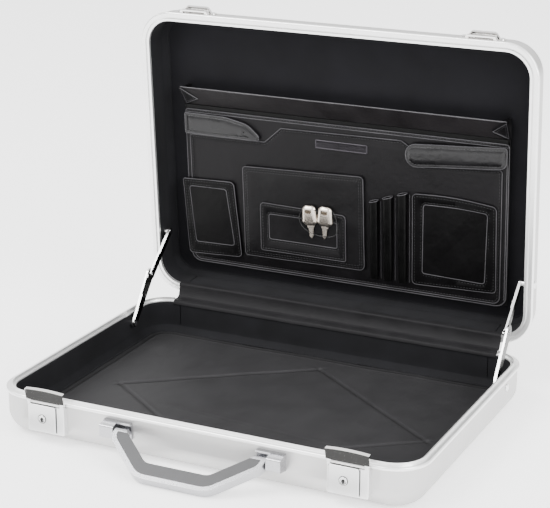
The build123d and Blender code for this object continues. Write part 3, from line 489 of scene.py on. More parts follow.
class Piece:
    """A mesh piece while it is drawn, in millimetres on a body's axes."""

    def __init__(self, name: str, axes: Axes) -> None:
        """Start an empty drawing.

        Args:
            name: the finished object's name.
            axes: the axes that it is drawn in.
        """
        self.name, self.axes, self.bm = name, axes, bmesh.new()

    def ring(self, path: list[Vector]) -> list[bmesh.types.BMEdge]:
        """Closed loop of edges through a path."""
        verts = bmesh.ops.create_circle(self.bm, cap_ends=False, segments=len(path), radius=1)["verts"]
        for vert, place in zip(verts, path):
            vert.co = place
        return list({edge for vert in verts for edge in vert.link_edges})

    def terrace(self, outline: "Outline", steps: Points, hole: "Outline | None" = None,
                hole_steps: Points = (), capped: bool = True, cell: float = 9.0) -> None:
        """Solid that climbs in rings from an outline to its middle, or to its window.

        Args:
            outline: the outer outline.
            steps: each ring's inset from the outline and its height, from the back upwards.
            hole: the window's outline, with as many points as the outer one.
            hole_steps: each ring's distance outside the window and its height, from the back up.
            capped: whether the back is closed.
            cell: size of the cells that the middle is cut into.
        """
        outer = [self.ring(outline.path(inset, n)) for inset, n in steps]
        for low, high in zip(outer, outer[1:]):
            bmesh.ops.bridge_loops(self.bm, edges=low + high)
        if hole is None:
            self.cells(bmesh.ops.contextual_create(self.bm, geom=outer[-1])["faces"], cell)
            if capped:
                bmesh.ops.contextual_create(self.bm, geom=outer[0])
            return
        inner = [self.ring(hole.path(-away, n)) for away, n in hole_steps]
        for low, high in zip(inner, inner[1:]):
            bmesh.ops.bridge_loops(self.bm, edges=low + high)
        bmesh.ops.bridge_loops(self.bm, edges=outer[-1] + inner[-1])
        bmesh.ops.bridge_loops(self.bm, edges=outer[0] + inner[0])

    def cells(self, faces: Faces, step: float) -> None:
        """Cut faces into cells, so that they can carry relief."""
        for normal in (Vector((1, 0, 0)), Vector((0, 1, 0))):
            spots = [vert.co.dot(normal) for face in faces for vert in face.verts]
            count = int((max(spots) - min(spots)) / step)
            for k in range(1, count + 1):
                geom = list({e for f in faces for e in f.edges} | {v for f in faces for v in f.verts}) + faces
                at = min(spots) + (max(spots) - min(spots)) * k / (count + 1)
                made = bmesh.ops.bisect_plane(self.bm, geom=geom, plane_co=normal * at, plane_no=normal)
                faces = [part for part in made["geom"] if isinstance(part, bmesh.types.BMFace)]

    def sheet(self, x: Pair, v: Pair, step: float,
              height: Callable[[float, float], float]) -> Faces:
        """Grid over a rectangle, lifted by a function of x and v."""
        wide, long = x[1] - x[0], v[1] - v[0]
        made = bmesh.ops.create_grid(self.bm, x_segments=max(1, round(wide / step)),
                                     y_segments=max(1, round(long / step)), size=0.5)
        for vert in made["verts"]:
            px = x[0] + (vert.co.x + 0.5) * wide
            pv = v[0] + (vert.co.y + 0.5) * long
            vert.co = (px, pv, height(px, pv))
        return list({f for vert in made["verts"] for f in vert.link_faces})

    def ribbon(self, line: Points, x: Pair, step: float) -> None:
        """Open line of v and n, drawn along x."""
        start = [self.bm.verts.new((x[0], v, n)) for v, n in line]
        edges = [self.bm.edges.new(pair) for pair in zip(start, start[1:])]
        steps = max(1, round((x[1] - x[0]) / step))
        bmesh.ops.spin(self.bm, geom=start + edges, cent=(0, 0, 0), axis=(1, 0, 0), angle=0,
                       dvec=((x[1] - x[0]) / steps, 0, 0), steps=steps)

    def around(self, section: Points, middle: float, steps: int = 8, span: float = 20.0) -> None:
        """Sweep a closed section of inset and height round the plan of the case.

        Args:
            section: inset from the outside of the rims, and height from the land.
            middle: v of the plan's middle.
            steps: segments in each corner.
            span: length of the segments along the sides.
        """
        side_x, side_v = HALF_WIDTH - CORNER, HALF_DEPTH - CORNER
        verts = [self.bm.verts.new((HALF_WIDTH - inset, middle - side_v, n)) for inset, n in section]
        edges = [self.bm.edges.new(pair) for pair in zip(verts, verts[1:] + verts[:1])]
        last = verts + edges
        runs = ((0, 1, side_v), (-1, 0, side_x), (0, -1, side_v), (1, 0, side_x))
        centres = ((side_x, side_v), (-side_x, side_v), (-side_x, -side_v), (side_x, -side_v))
        for (dx, dv, half), (cx, cv) in zip(runs, centres):
            count = max(1, round(2 * half / span))
            last = bmesh.ops.spin(self.bm, geom=last, cent=(0, 0, 0), axis=(0, 0, 1), angle=0,
                                  dvec=(dx * 2 * half / count, dv * 2 * half / count, 0),
                                  steps=count)["geom_last"]
            last = bmesh.ops.spin(self.bm, geom=last, cent=(cx, middle + cv, 0), axis=(0, 0, 1),
                                  angle=math.pi / 2, dvec=(0, 0, 0), steps=steps)["geom_last"]

    def stitches(self, path: list[Vector], pitch: float = 3.4, length: float = 2.3,
                 width: float = 0.55, closed: bool = True) -> None:
        """Row of sewn stitches along a path."""
        ends = path[1:] + path[:1] if closed else path[1:]
        spare = 0.0
        for a, b in zip(path, ends):
            run = (b - a).length
            along = spare
            while along < run:
                at = a.lerp(b, along / run)
                turn = (b - a).to_track_quat("X", "Z").to_matrix().to_4x4()
                shape = Matrix.Diagonal((length / 2, width / 2, width / 2, 1))
                bmesh.ops.create_uvsphere(self.bm, u_segments=5, v_segments=3, radius=1,
                                          matrix=Matrix.Translation(at) @ turn @ shape)
                along += pitch
            spare = along - run

    @staticmethod
    def meshed(curve: bpy.types.Curve) -> bpy.types.Mesh:
        """Mesh of a curve, which is used up."""
        guide = bpy.data.objects.new("guide", curve)
        mesh = bpy.data.meshes.new_from_object(guide)
        bpy.data.objects.remove(guide)
        bpy.data.curves.remove(curve)
        return mesh

    def cord_round(self, path: list[Vector], radius: float, sides: int = 6,
                   closed: bool = True) -> None:
        """Round piping along a path."""
        data = bpy.data.curves.new("guide", "CURVE")
        data.dimensions, data.bevel_depth, data.bevel_resolution = "3D", radius, sides // 2 - 1
        spline = data.splines.new("POLY")
        spline.points.add(len(path) - 1)
        for point, place in zip(spline.points, path):
            point.co = (*place, 1)
        spline.use_cyclic_u = closed
        data.use_fill_caps = not closed
        tube = self.meshed(data)
        self.bm.from_mesh(tube)
        bpy.data.meshes.remove(tube)

    def ripple(self, depth: float, size: float, seed: float = 0.0) -> None:
        """Let the surface wander gently in height."""
        for vert in self.bm.verts:
            vert.co.z += depth * noise.noise(vert.co / size + Vector((seed, seed, 0)))

    def finish(self, look: "Look", body: str | None, replaces: tuple[str, ...] = (),
               sharp: float = 40.0, smoother: int = 0) -> bpy.types.Object:
        """Make the object, dress it and set it on its body.

        Args:
            look: its finish.
            body: the CAD body that it rides on, or None, which leaves it on no body.
            replaces: the CAD nodes that it stands for.
            sharp: edges that turn by more degrees stay sharp.
            smoother: subdivision levels.

        Returns:
            The object.
        """
        bmesh.ops.remove_doubles(self.bm, verts=self.bm.verts, dist=0.004)
        bmesh.ops.recalc_face_normals(self.bm, faces=self.bm.faces)
        for face in self.bm.faces:
            face.smooth = True
        for edge in self.bm.edges:
            edge.smooth = edge.calc_face_angle(0) < math.radians(sharp)
        self.bm.transform(self.axes.matrix())
        data = bpy.data.meshes.new(self.name)
        self.bm.to_mesh(data)
        self.bm.free()
        thing = bpy.data.objects.new(self.name, data)
        bpy.context.scene.collection.objects.link(thing)
        data.materials.append(Paint.get(look))
        if smoother:
            softer = thing.modifiers.new("softer", "SUBSURF")
            softer.levels = softer.render_levels = smoother
        if replaces:
            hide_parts(*replaces)
        if body:
            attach(thing, body)
        log.info("%s: %d faces on %s", self.name, len(data.polygons), body)
        return thing


def rim_distance(x: float, y: float) -> float:
    """How far a point of the plan lies inside the outside of the rims."""
    dx, dy = abs(x) - (HALF_WIDTH - CORNER), abs(y) - (HALF_DEPTH - CORNER)
    outside = math.hypot(max(dx, 0), max(dy, 0)) + min(max(dx, dy), 0)
    return CORNER - outside


def within(x: float, y: float, inset: float) -> Pair:
    """The point itself, or the nearest one on the plan drawn in by inset."""
    far = inset - rim_distance(x, y)
    if far <= 0:
        return x, y
    sx, sy = math.copysign(1, x), math.copysign(1, y)
    dx, dy = abs(x) - (HALF_WIDTH - CORNER), abs(y) - (HALF_DEPTH - CORNER)
    if dx > 0 and dy > 0:
        reach = math.hypot(dx, dy)
        return x - sx * dx / reach * far, y - sy * dy / reach * far
    return (x - sx * far, y) if dx > dy else (x, y - sy * far)


# ---------------------------------------------------------------- linings
@dataclass
class FloorPad:
    """Quilted pad in the bottom of the base, with an embossed diamond and a seam round it."""

    face: float = -36.5
    inset: float = 9.8
    seam: float = 20.5
    step: float = 1.8
    left: Pair = (-165.0, -14.0)
    back: Pair = (7.0, 116.0)
    right: Pair = (179.0, -14.0)
    front: Pair = (7.0, -143.0)
    wrinkle_from: Pair = (-62.0, -50.0)
    wrinkle_to: Pair = (92.0, -66.0)

    @staticmethod
    def beside(x: float, y: float, a: Pair, b: Pair) -> Pair:
        """Signed distance from a line's run, and how far the point lies past its ends."""
        run = Vector(b) - Vector(a)
        length = run.length
        run.normalize()
        to = Vector((x, y)) - Vector(a)
        along = to.dot(run)
        return to.x * run.y - to.y * run.x, max(0.0, -along, along - length)

    def emboss(self, x: float, y: float) -> Pair:
        """Height of the embossed diamond and the seam at a point, and their painted light and shade: lighter
        on ridges, darker in grooves.
        """
        seam_off = rim_distance(x, y) - self.seam
        up = -1.1 * math.exp(-((seam_off / 1.5) ** 2)) + 0.4 * math.exp(-(((seam_off - 4.5) / 3) ** 2))
        relief_shade = -1.2 * math.exp(-((seam_off / 1.6) ** 2)) + 0.5 * math.exp(-(((seam_off - 3.6) / 1.3) ** 2))
        for a, b, ridge, groove in ((self.left, self.back, 1.0, 0.8), (self.back, self.right, 0.45, 1.0),
                                    (self.left, self.front, 0.45, 1.0), (self.front, self.right, 0.7, 0.5)):
            off, past = self.beside(x, y, a, b)
            fade = math.exp(-((past / 7) ** 2))
            raised = math.exp(-(((off + 1.9) / 1.8) ** 2))
            sunk = math.exp(-(((off - 1.5) / 1.6) ** 2))
            up += fade * (1.3 * ridge * raised - 1.2 * groove * sunk)
            relief_shade += fade * (ridge * raised - groove * sunk)
        return up, relief_shade

    def height(self, x: float, y: float) -> float:
        """Height of the pad's cloth above its face."""
        up = self.emboss(x, y)[0]
        off, past = self.beside(x, y, self.wrinkle_from, self.wrinkle_to)
        up += math.exp(-((past / 25) ** 2)) * (0.9 * math.exp(-((off / 6) ** 2))
                                               - 0.6 * math.exp(-(((off + 9) / 6) ** 2)))
        up += 0.7 * noise.noise(Vector((x / 55, y / 38, 1.7)))
        up += 0.15 * noise.noise(Vector((x / 12, y / 16, 4.1)))
        return up

    def build(self) -> None:
        """Make the pad."""
        pad = Piece("floor_quilt", BASE)
        half_x, half_y = HALF_WIDTH - self.inset, HALF_DEPTH - self.inset
        pad.sheet((-half_x, half_x), (-half_y, half_y), self.step, lambda x, y: 0.0)
        for vert in pad.bm.verts:
            x, y = within(vert.co.x, vert.co.y, self.inset)
            vert.co = (x, y, self.face - 0.4 + self.height(x, y))
        rim = [e for e in pad.bm.edges if e.is_boundary]
        skirt = bmesh.ops.extrude_edge_only(pad.bm, edges=rim)["geom"]
        for part in skirt:
            if isinstance(part, bmesh.types.BMVert):
                part.co.z = self.face - 3.0
        quilt = pad.finish(Look.FLOOR, "base", ("floor_pad",), sharp=80)
        # Painted light and shade on the relief: lighter on ridges, darker in grooves and along the seam.
        relief_shade_values = quilt.data.attributes.new("painted_relief_shade", "FLOAT", "POINT")
        for vert, value in zip(quilt.data.vertices, relief_shade_values.data):
            value.value = max(-1.0, min(1.0, self.emboss(vert.co.x / MM, vert.co.y / MM)[1]))


@dataclass
class WallLining:
    """Padded wall lining of a tray, with a rolled upper edge, a cove and a foot on the board."""

    name: str
    body: str
    replaces: str
    axes: Axes
    middle: float
    top: float
    floor: float
    face: float = 9.6
    cove: float = 8.0
    foot: float = 6.2
    joint_x: float = 183.5

    def section(self) -> Points:
        """Closed section: inset from the outside of the rims, and height from the land."""
        arc = [
            (self.face + self.cove * (1 - math.cos(a)), self.floor + self.cove * (1 - math.sin(a)) + 0.35)
            for a in (math.radians(d) for d in range(0, 76, 15))
        ]
        return [
            (5.6, self.top), (8.4, self.top), (9.2, self.top - 0.25), (self.face, self.top - 1.0),
            (self.face + 0.15, self.top - 4), (self.face + 0.2, self.floor + self.cove + 6), *arc,
            (self.face + self.foot, self.floor + 0.75), (self.face + self.foot + 0.3, self.floor + 0.3),
            (14.8, self.floor + 0.25), (6.0, self.floor + self.cove + 4),
        ]

    def build(self) -> None:
        """Make the lining and its stitched seams."""
        liner = Piece(self.name, self.axes)
        liner.around(self.section(), self.middle, 10, 16.0)
        for vert in liner.bm.verts:
            x, y = vert.co.x, vert.co.y - self.middle
            if rim_distance(x, y) > self.face - 0.5 and vert.co.z < self.top - 3:
                push = 0.25 * noise.noise(Vector((x / 30, y / 30, vert.co.z / 22)))
                vert.co.x -= math.copysign(push, x)
                vert.co.y -= math.copysign(push, y)
        pad = liner.finish(Look.LINING, self.body, (self.replaces,), sharp=50)
        seams = Piece(f"{self.name}_seams", self.axes)
        half_v = HALF_DEPTH - self.face
        for end in (-1, 1):
            for side in (-1, 1):
                x = side * self.joint_x
                seams.cord_round([Vector((x, self.middle + end * (half_v - 0.15), n))
                                  for n in (self.top - 0.8, self.floor + self.cove + 1)], 0.35, 6, False)
        seams.finish(Look.PEN, self.body)


@dataclass
class LidLining:
    """Padded board behind the organizer."""

    face: float = -35.0
    inset: float = 15.3
    step: float = 6.0

    def build(self) -> None:
        """Make the board's cloth face."""
        pad = Piece("lid_quilt", LID)
        half_x, half_v = HALF_WIDTH - self.inset, HALF_DEPTH - self.inset
        pad.sheet((-half_x, half_x), (-half_v, half_v), self.step, lambda x, y: 0.0)
        for vert in pad.bm.verts:
            x, y = within(vert.co.x, vert.co.y, self.inset)
            wave = 0.5 * noise.noise(Vector((x / 90, y / 60, 8.3)))
            vert.co = (x, y + HALF_DEPTH, self.face - 0.3 + min(0.25, wave))
        rim = [e for e in pad.bm.edges if e.is_boundary]
        for part in bmesh.ops.extrude_edge_only(pad.bm, edges=rim)["geom"]:
            if isinstance(part, bmesh.types.BMVert):
                part.co.z = self.face - 0.6
        pad.finish(Look.LID_CLOTH, "lid", ("lid_top_liner",), sharp=80)


@dataclass
class HingeFlap:
    """Leather flap over the hinge, from the lid's lining to the base's shelf."""

    half: float = 192.0
    thick: float = 1.1
    shelf: float = 1.0          # the inner half of the base's rim lies lower
    rim: float = 9.5

    def line(self) -> list[Vector]:
        """The flap's middle from lid to base, in the row frame in millimetres."""
        lift = 0.3 + self.thick / 2
        low = [(self.rim + lift, -6.0), (self.rim + lift, -0.4), (self.rim + 0.2, lift * 0.8),
               (self.rim - 1.6, lift), (self.rim / 2, lift)]
        lid = [LID.point(0, v, n) / MM for v, n in low]
        base = [(HALF_DEPTH - 2.2, LAND + lift), (HALF_DEPTH - 6.2, LAND + lift),
                (HALF_DEPTH - self.rim + 0.2, LAND - self.shelf + lift),
                (HALF_DEPTH - self.rim - 0.9, LAND - self.shelf + lift - 0.6),
                (HALF_DEPTH - self.rim - 1.2, LAND - self.shelf - 3.2)]
        bend = [Vector((0, 165.0, 48.6)), Vector((0, 163.6, 47.4))]
        return [*lid, *bend, *[Vector((0, y, z)) for y, z in base]]

    def build(self) -> None:
        """Make the flap, shaped for the lid as it stands open and left on no body."""
        flat = Axes(Vector((0, 0, 0)), Vector((0, 1, 0)), Vector((0, 0, 1)))
        flap = Piece("flap_leather", flat)
        line = [(p.y, p.z) for p in self.line()]
        flap.ribbon(line, (-self.half, self.half), 8.0)
        for vert in flap.bm.verts:
            vert.co.z += 0.18 * noise.noise(Vector((vert.co.x / 26, vert.co.y / 9, 2.2)))
        bmesh.ops.recalc_face_normals(flap.bm, faces=flap.bm.faces)
        bmesh.ops.solidify(flap.bm, geom=flap.bm.faces, thickness=self.thick)
        hide = flap.finish(Look.FLAP, None, ("hinge_flap",), sharp=60)
        lid_end = LID.point(0, self.rim, -1)
        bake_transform(hide)


# ---------------------------------------------------------------- organizer in the lid
ROLL = [(0.0, -0.6), (0.2, -0.25), (0.6, -0.05), (1.2, 0.0)]       # inset, height under the face
SEAM = [(2.5, 0.0), (2.75, -0.28), (3.1, -0.3), (3.4, 0.0)]
CROWN = [(5.0, 0.15), (8.5, 0.35), (12.0, 0.45)]
STRAP_CROWN = [(5.0, 0.5), (7.5, 0.9), (9.5, 1.0)]


@dataclass
class Patch:
    """Flat leather piece of the organizer: rolled edge, stitched seam and a soft crown.

    Attributes:
        name: the object's name.
        corners: outline, counter-clockwise from its lower left, as x and v.
        radii: roundings of the corners.
        low: n of its back.
        thick: how far its face stands above its back.
        replaces: the CAD nodes that it stands for.
        hole: corners of its window.
        hole_radii: roundings of the window.
        crown: rings inside the seam, as inset and rise.
        bow: how far the top edge is drawn up in its middle.
        double: whether a second row of stitches follows the first.
        look: its finish, where that isn't the organizer's leather.
        wander: how far the leather wanders in height.
    """

    name: str
    corners: Points
    radii: list[float]
    low: float
    thick: float
    replaces: tuple[str, ...] = ()
    hole: Points = field(default_factory=list)
    hole_radii: list[float] = field(default_factory=list)
    crown: Points = field(default_factory=lambda: list(CROWN))
    bow: float = 0.0
    double: bool = False
    look: "Look | None" = None
    wander: float = 0.7

    def bowed(self, verts: Iterable[bmesh.types.BMVert]) -> None:
        """Draw the upper edge up in a flat arc."""
        left, right = self.corners[0][0], self.corners[1][0]
        low = self.corners[0][1]
        high = max(v for _, v in self.corners)
        for vert in verts:
            across = min(1.0, max(0.0, (vert.co.x - left) / (right - left)))
            share = max(0.0, (vert.co.y - low) / (high - low))
            vert.co.y += self.bow * math.sin(math.pi * across) * share ** 3

    def build(self) -> None:
        """Make the patch, its stitches and the piping on its edges."""
        outer = Outline(self.corners, self.radii)
        high = self.low + self.thick
        steps = [(0.0, self.low)] + [(inset, high + drop) for inset, drop in ROLL + SEAM]
        patch = Piece(self.name, LID)
        hole = None
        if self.hole:
            ends = self.corners[1:] + self.corners[:1]
            sides = [(Vector(b) - Vector(a)).length for a, b in zip(self.corners, ends)]
            hole = Outline(self.hole, self.hole_radii, [int(side / 12) for side in sides])
            patch.terrace(outer, steps, hole, [(0.0, self.low), (0.0, high - 0.6), (0.3, high - 0.15),
                                               (1.0, high), (2.3, high), (2.5, high - 0.25), (2.9, high)])
        else:
            steps += [(inset, high + rise) for inset, rise in self.crown]
            patch.terrace(outer, steps)
        self.bowed(patch.bm.verts)
        patch.ripple(self.wander, 30.0, self.corners[0][0] / 50)
        patch.finish(self.look or Look.LEATHER, "lid", self.replaces)
        thread = Piece(f"{self.name}_stitches", LID)
        thread.stitches(outer.path(2.95, high - 0.1))
        if self.double:
            thread.stitches(outer.path(5.4, high + 0.2))
        if hole:
            thread.stitches(hole.path(-2.5, high - 0.1))
        self.bowed(thread.bm.verts)
        thread.ripple(self.wander, 30.0, self.corners[0][0] / 50)
        thread.finish(Look.THREAD, "lid")
        edge = Piece(f"{self.name}_piping", LID)
        edge.cord_round(outer.path(0.35, high - 0.35), 0.5)
        if hole:
            edge.cord_round(hole.path(-0.2, high - 0.05), 0.5)
        self.bowed(edge.bm.verts)
        edge.ripple(self.wander, 30.0, self.corners[0][0] / 50)
        edge.finish(Look.BINDING_HIGHLIGHT, "lid")


@dataclass
class Board:
    """Leather-covered board of the organizer, with the wide pocket on its front."""

    half: float = 188.5
    bottom: float = 30.0
    top: float = 212.0
    back: float = -27.5
    face: float = -26.2
    pocket: float = -25.0

    def build(self) -> None:
        """Make the board, its binding and the wide pocket with its stepped upper edge."""
        left, right, low, high = -self.half, self.half, self.bottom, self.top
        board = Piece("board_leather", LID)
        outline = Outline([(left, low), (right, low), (right, high), (left, high)], [12, 12, 4, 4])
        board.terrace(outline, [(0, self.back), (0, self.face - 0.4), (0.5, self.face - 0.1),
                                (1.2, self.face)])
        board.finish(Look.WIDE, "lid", ("organizer_panel",))
        front = Outline(
            [(left + 5, low + 3), (right - 7, low + 3), (right - 7, 184), (92, 178), (79, 197.5),
             (69, 203.5), (-71, 201.5), (-91, 183.5), (left + 5, 183)],
            [8.0, 8.0, 4.0, 5.0, 4.0, 4.0, 4.0, 3.0, 4.0],
        )
        pocket = Piece("front_pocket_leather", LID)
        pocket.terrace(front, [(0, self.face), (0, self.pocket - 0.5), (0.4, self.pocket - 0.1),
                               (1.0, self.pocket), (2.6, self.pocket), (2.9, self.pocket - 0.2),
                               (3.3, self.pocket + 0.02)])
        pocket.finish(Look.WIDE, "lid", ("centre_panel",))
        lines = Piece("board_piping", LID)
        lines.cord_round(front.path(0.4, self.pocket - 0.1), 0.55)
        lines.cord_round(outline.path(0.6, self.face + 0.1), 0.65)
        rows = [[(left + 1, high - 3.9), (right - 1, high - 3.9)]]
        rows += [[(x, low + 8), (x, high - 5)] for x in (left + 5.2, right - 2.6)]
        for row in rows:
            lines.cord_round([Vector((x, v, self.face + 0.15)) for x, v in row], 0.6, 6, False)
        lines.finish(Look.BINDING_HIGHLIGHT, "lid")
        thread = Piece("board_stitches", LID)
        thread.stitches(front.path(2.9, self.pocket - 0.1))
        top_row = [Vector((x, high - 2.1, self.face + 0.1)) for x in (left + 2, right - 2)]
        thread.stitches(top_row, closed=False)
        thread.finish(Look.THREAD, "lid")


@dataclass
class FilePocket:
    """Leaning front of the file pocket behind the board, its gussets and its bound mouth."""

    half: float = 187.6
    fold: Pair = (215.5, -30.6)
    mouth: Pair = (239.2, -15.6)
    tail: float = 14.0
    back: float = -34.8
    floor: float = 30.0
    pleat: float = 3.6

    def face_at(self, v: float) -> float:
        """Height of the front's leather at a place up the lid."""
        share = (v - self.fold[0]) / (self.mouth[0] - self.fold[0])
        return self.fold[1] + max(0.0, share) * (self.mouth[1] - self.fold[1])

    def build(self) -> None:
        """Make the front, the gussets, the corner patches and the pocket's bottom."""
        front = Piece("file_pocket_leather", LID)
        fold_v, fold_n = self.fold
        line = [(fold_v - self.tail, fold_n), (fold_v - 3, fold_n), (fold_v, fold_n + 0.2)]
        for share in (0.2, 0.45, 0.7, 0.9, 1.0):
            v = fold_v + share * (self.mouth[0] - fold_v)
            line.append((v, self.face_at(v) + 0.5 * math.sin(math.pi * share)))
        front.ribbon(line, (-self.half, self.half), 7.0)
        for vert in front.bm.verts:
            share = max(0.0, vert.co.y - fold_v) / (self.mouth[0] - fold_v)
            sag = 0.5 * noise.noise(Vector((vert.co.x / 48, share, 3.3)))
            vert.co.z += share * sag
        bmesh.ops.recalc_face_normals(front.bm, faces=front.bm.faces)
        bmesh.ops.solidify(front.bm, geom=front.bm.faces, thickness=1.0)
        front.finish(Look.FILE, "lid", ("file_pocket_front",), sharp=60)
        self.gusset(-1)
        self.gusset(1)
        base = Piece("gusset_floor_leather", LID)
        strip = box_outline(-self.half + 5, self.half - 5, self.floor, self.floor + 1.8, 0.3)
        base.terrace(strip, [(0, self.back), (0, self.back + 7.0), (0.3, self.back + 7.15)])
        base.finish(Look.LEATHER, "lid", ("gusset_bottom",))
        # Near-black strip above the board's top edge: painted shadow under the lower edge of the pocket's
        # front.
        fold = Piece("file_pocket_shadow_strip", LID)
        fold.terrace(box_outline(-self.half + 1, self.half - 1, 211.6, 216.6, 0.5),
                     [(0, fold_n), (0, -27.6), (0.4, -27.2)], cell=40.0)
        fold.finish(Look.PEN, "lid")
        self.bindings()

    def gusset(self, side: int) -> None:
        """Pleated side of the pocket."""
        leaf = Piece(f"gusset_leather_{'left' if side < 0 else 'right'}", LID)
        folds = 6
        made = leaf.sheet((0, folds), (self.floor, self.mouth[0] - 1.0), 1.0, lambda x, v: 0.0)
        verts = {v for face in made for v in face.verts}
        for vert in verts:
            k, v = vert.co.x, vert.co.y
            front_n = min(self.face_at(v), -27.9) if v < self.fold[0] - 13 else self.face_at(v) - 0.9
            n = self.back + (front_n - self.back) * k / folds
            out = self.pleat * (1 if round(k) % 2 else -1) * 0.5
            wave = 0.3 * noise.noise(Vector((v / 20, k, side)))
            vert.co = (side * (self.half - 2.2 + out + wave), v, n)
        bmesh.ops.recalc_face_normals(leaf.bm, faces=leaf.bm.faces)
        bmesh.ops.solidify(leaf.bm, geom=leaf.bm.faces, thickness=0.7)
        leaf.finish(Look.LEATHER, "lid", (f"gusset_{'left' if side < 0 else 'right'}",), sharp=35)

    def corner(self, side: int) -> Points:
        """The folded triangle at one end of the front: mouth, tip and fold."""
        return [(side * self.half, self.mouth[0] - 1.5), (side * (self.half - 17), 225.0),
                (side * (self.half - 1), self.fold[0] + 2.5)]

    def bindings(self) -> None:
        """Bound mouth and the folded corner at each end."""
        bound = Piece("file_pocket_piping", LID)
        mouth_v, mouth_n = self.mouth
        steps = 60
        rail = []
        for i in range(steps + 1):
            sag = 0.4 * noise.noise(Vector((i / 7, 0, 3.3)))
            rail.append(Vector((-self.half + 2 * self.half * i / steps, mouth_v - 0.2, mouth_n + 0.1 + sag)))
        bound.cord_round(rail, 0.8, 8, False)
        for side in (-1, 1):
            tri = self.corner(side)
            bound.cord_round([Vector((x, v, self.face_at(v) + 1.6)) for x, v in tri], 0.8)
            inner = [(side * (self.half - 2), mouth_v - 5), (side * (self.half - 13), 225.2),
                     (side * (self.half - 3), self.fold[0] + 5)]
            bound.cord_round([Vector((x, v, self.face_at(v) + 1.4)) for x, v in inner], 0.4)
        bound.finish(Look.BINDING_HIGHLIGHT, "lid")
        folded = Piece("file_pocket_corners", LID)
        for side in (-1, 1):
            tri = self.corner(side)
            if side > 0:
                tri.reverse()
            folded.terrace(Outline(tri, [1, 2, 1]), [(0, 0), (0, 0.7), (0.3, 1.0), (1.2, 1.1), (2.7, 1.2)])
        for vert in folded.bm.verts:
            vert.co.z += self.face_at(vert.co.y) + 0.55
        folded.finish(Look.LEATHER, "lid")


@dataclass
class PenSleeves:
    """Three pen sleeves: leather tubes, open above, sewn down between."""

    sleeves: tuple[tuple[float, float, float], ...] = ((34.5, 44.5, 133.0), (50.0, 61.0, 139.0),
                                                        (67.0, 77.5, 145.0))
    bottom: float = 43.0
    low: float = -24.9
    depth: float = 8.4
    wall: float = 0.8

    def build(self) -> None:
        """Make each sleeve, its bound mouth and the seams between."""
        for number, (left, right, top) in enumerate(self.sleeves, start=1):
            sleeve = Piece(f"pen_sleeve_leather_{number}", LID)
            half, rise = (right - left) / 2, self.depth
            middle = (left + right) / 2
            ring = bmesh.ops.create_circle(sleeve.bm, segments=20, radius=1)["verts"]
            for vert in ring:
                a = math.atan2(vert.co.y, vert.co.x)
                flat = math.copysign(abs(math.sin(a)) ** 0.8, math.sin(a))
                vert.co = (middle + half * math.cos(a), self.bottom, self.low + rise / 2 * (1 + flat))
            edges = list({e for v in ring for e in v.link_edges})
            steps = 12
            bmesh.ops.spin(sleeve.bm, geom=ring + edges, cent=(0, 0, 0), axis=(0, 1, 0), angle=0,
                           dvec=(0, (top - self.bottom) / steps, 0), steps=steps)
            for vert in sleeve.bm.verts:
                share = (vert.co.y - self.bottom) / (top - self.bottom)
                width = 0.86 + 0.14 * share
                vert.co.x = middle + (vert.co.x - middle) * width
                if vert.co.z > self.low + 1:
                    vert.co.z = self.low + (vert.co.z - self.low) * (0.72 + 0.28 * share)
                if share > 0.98:
                    vert.co.y += 0.28 * (vert.co.x - middle)
                vert.co.x += 0.25 * noise.noise(Vector((vert.co.y / 18, vert.co.z / 5, number)))
            bmesh.ops.recalc_face_normals(sleeve.bm, faces=sleeve.bm.faces)
            bmesh.ops.solidify(sleeve.bm, geom=sleeve.bm.faces, thickness=self.wall)
            sleeve.finish(Look.PEN, "lid", (f"pen_sleeve_{number}",), sharp=50)
        trim = Piece("pen_sleeve_piping", LID)
        for left, right, top in self.sleeves:
            middle, half = (left + right) / 2, (right - left) / 2
            mouth = []
            for i in range(20):
                a = 2 * math.pi * i / 20
                flat = math.copysign(abs(math.sin(a)) ** 0.8, math.sin(a))
                x = half * math.cos(a)
                mouth.append(Vector((middle + x, top + 0.28 * x, self.low + self.depth / 2 * (1 + flat))))
            trim.cord_round(mouth, 0.5)
            trim.cord_round([Vector((right + 1.6, v, self.low + 0.2)) for v in (self.bottom, top - 1)],
                            0.5, 6, False)
        trim.finish(Look.BINDING_HIGHLIGHT, "lid")


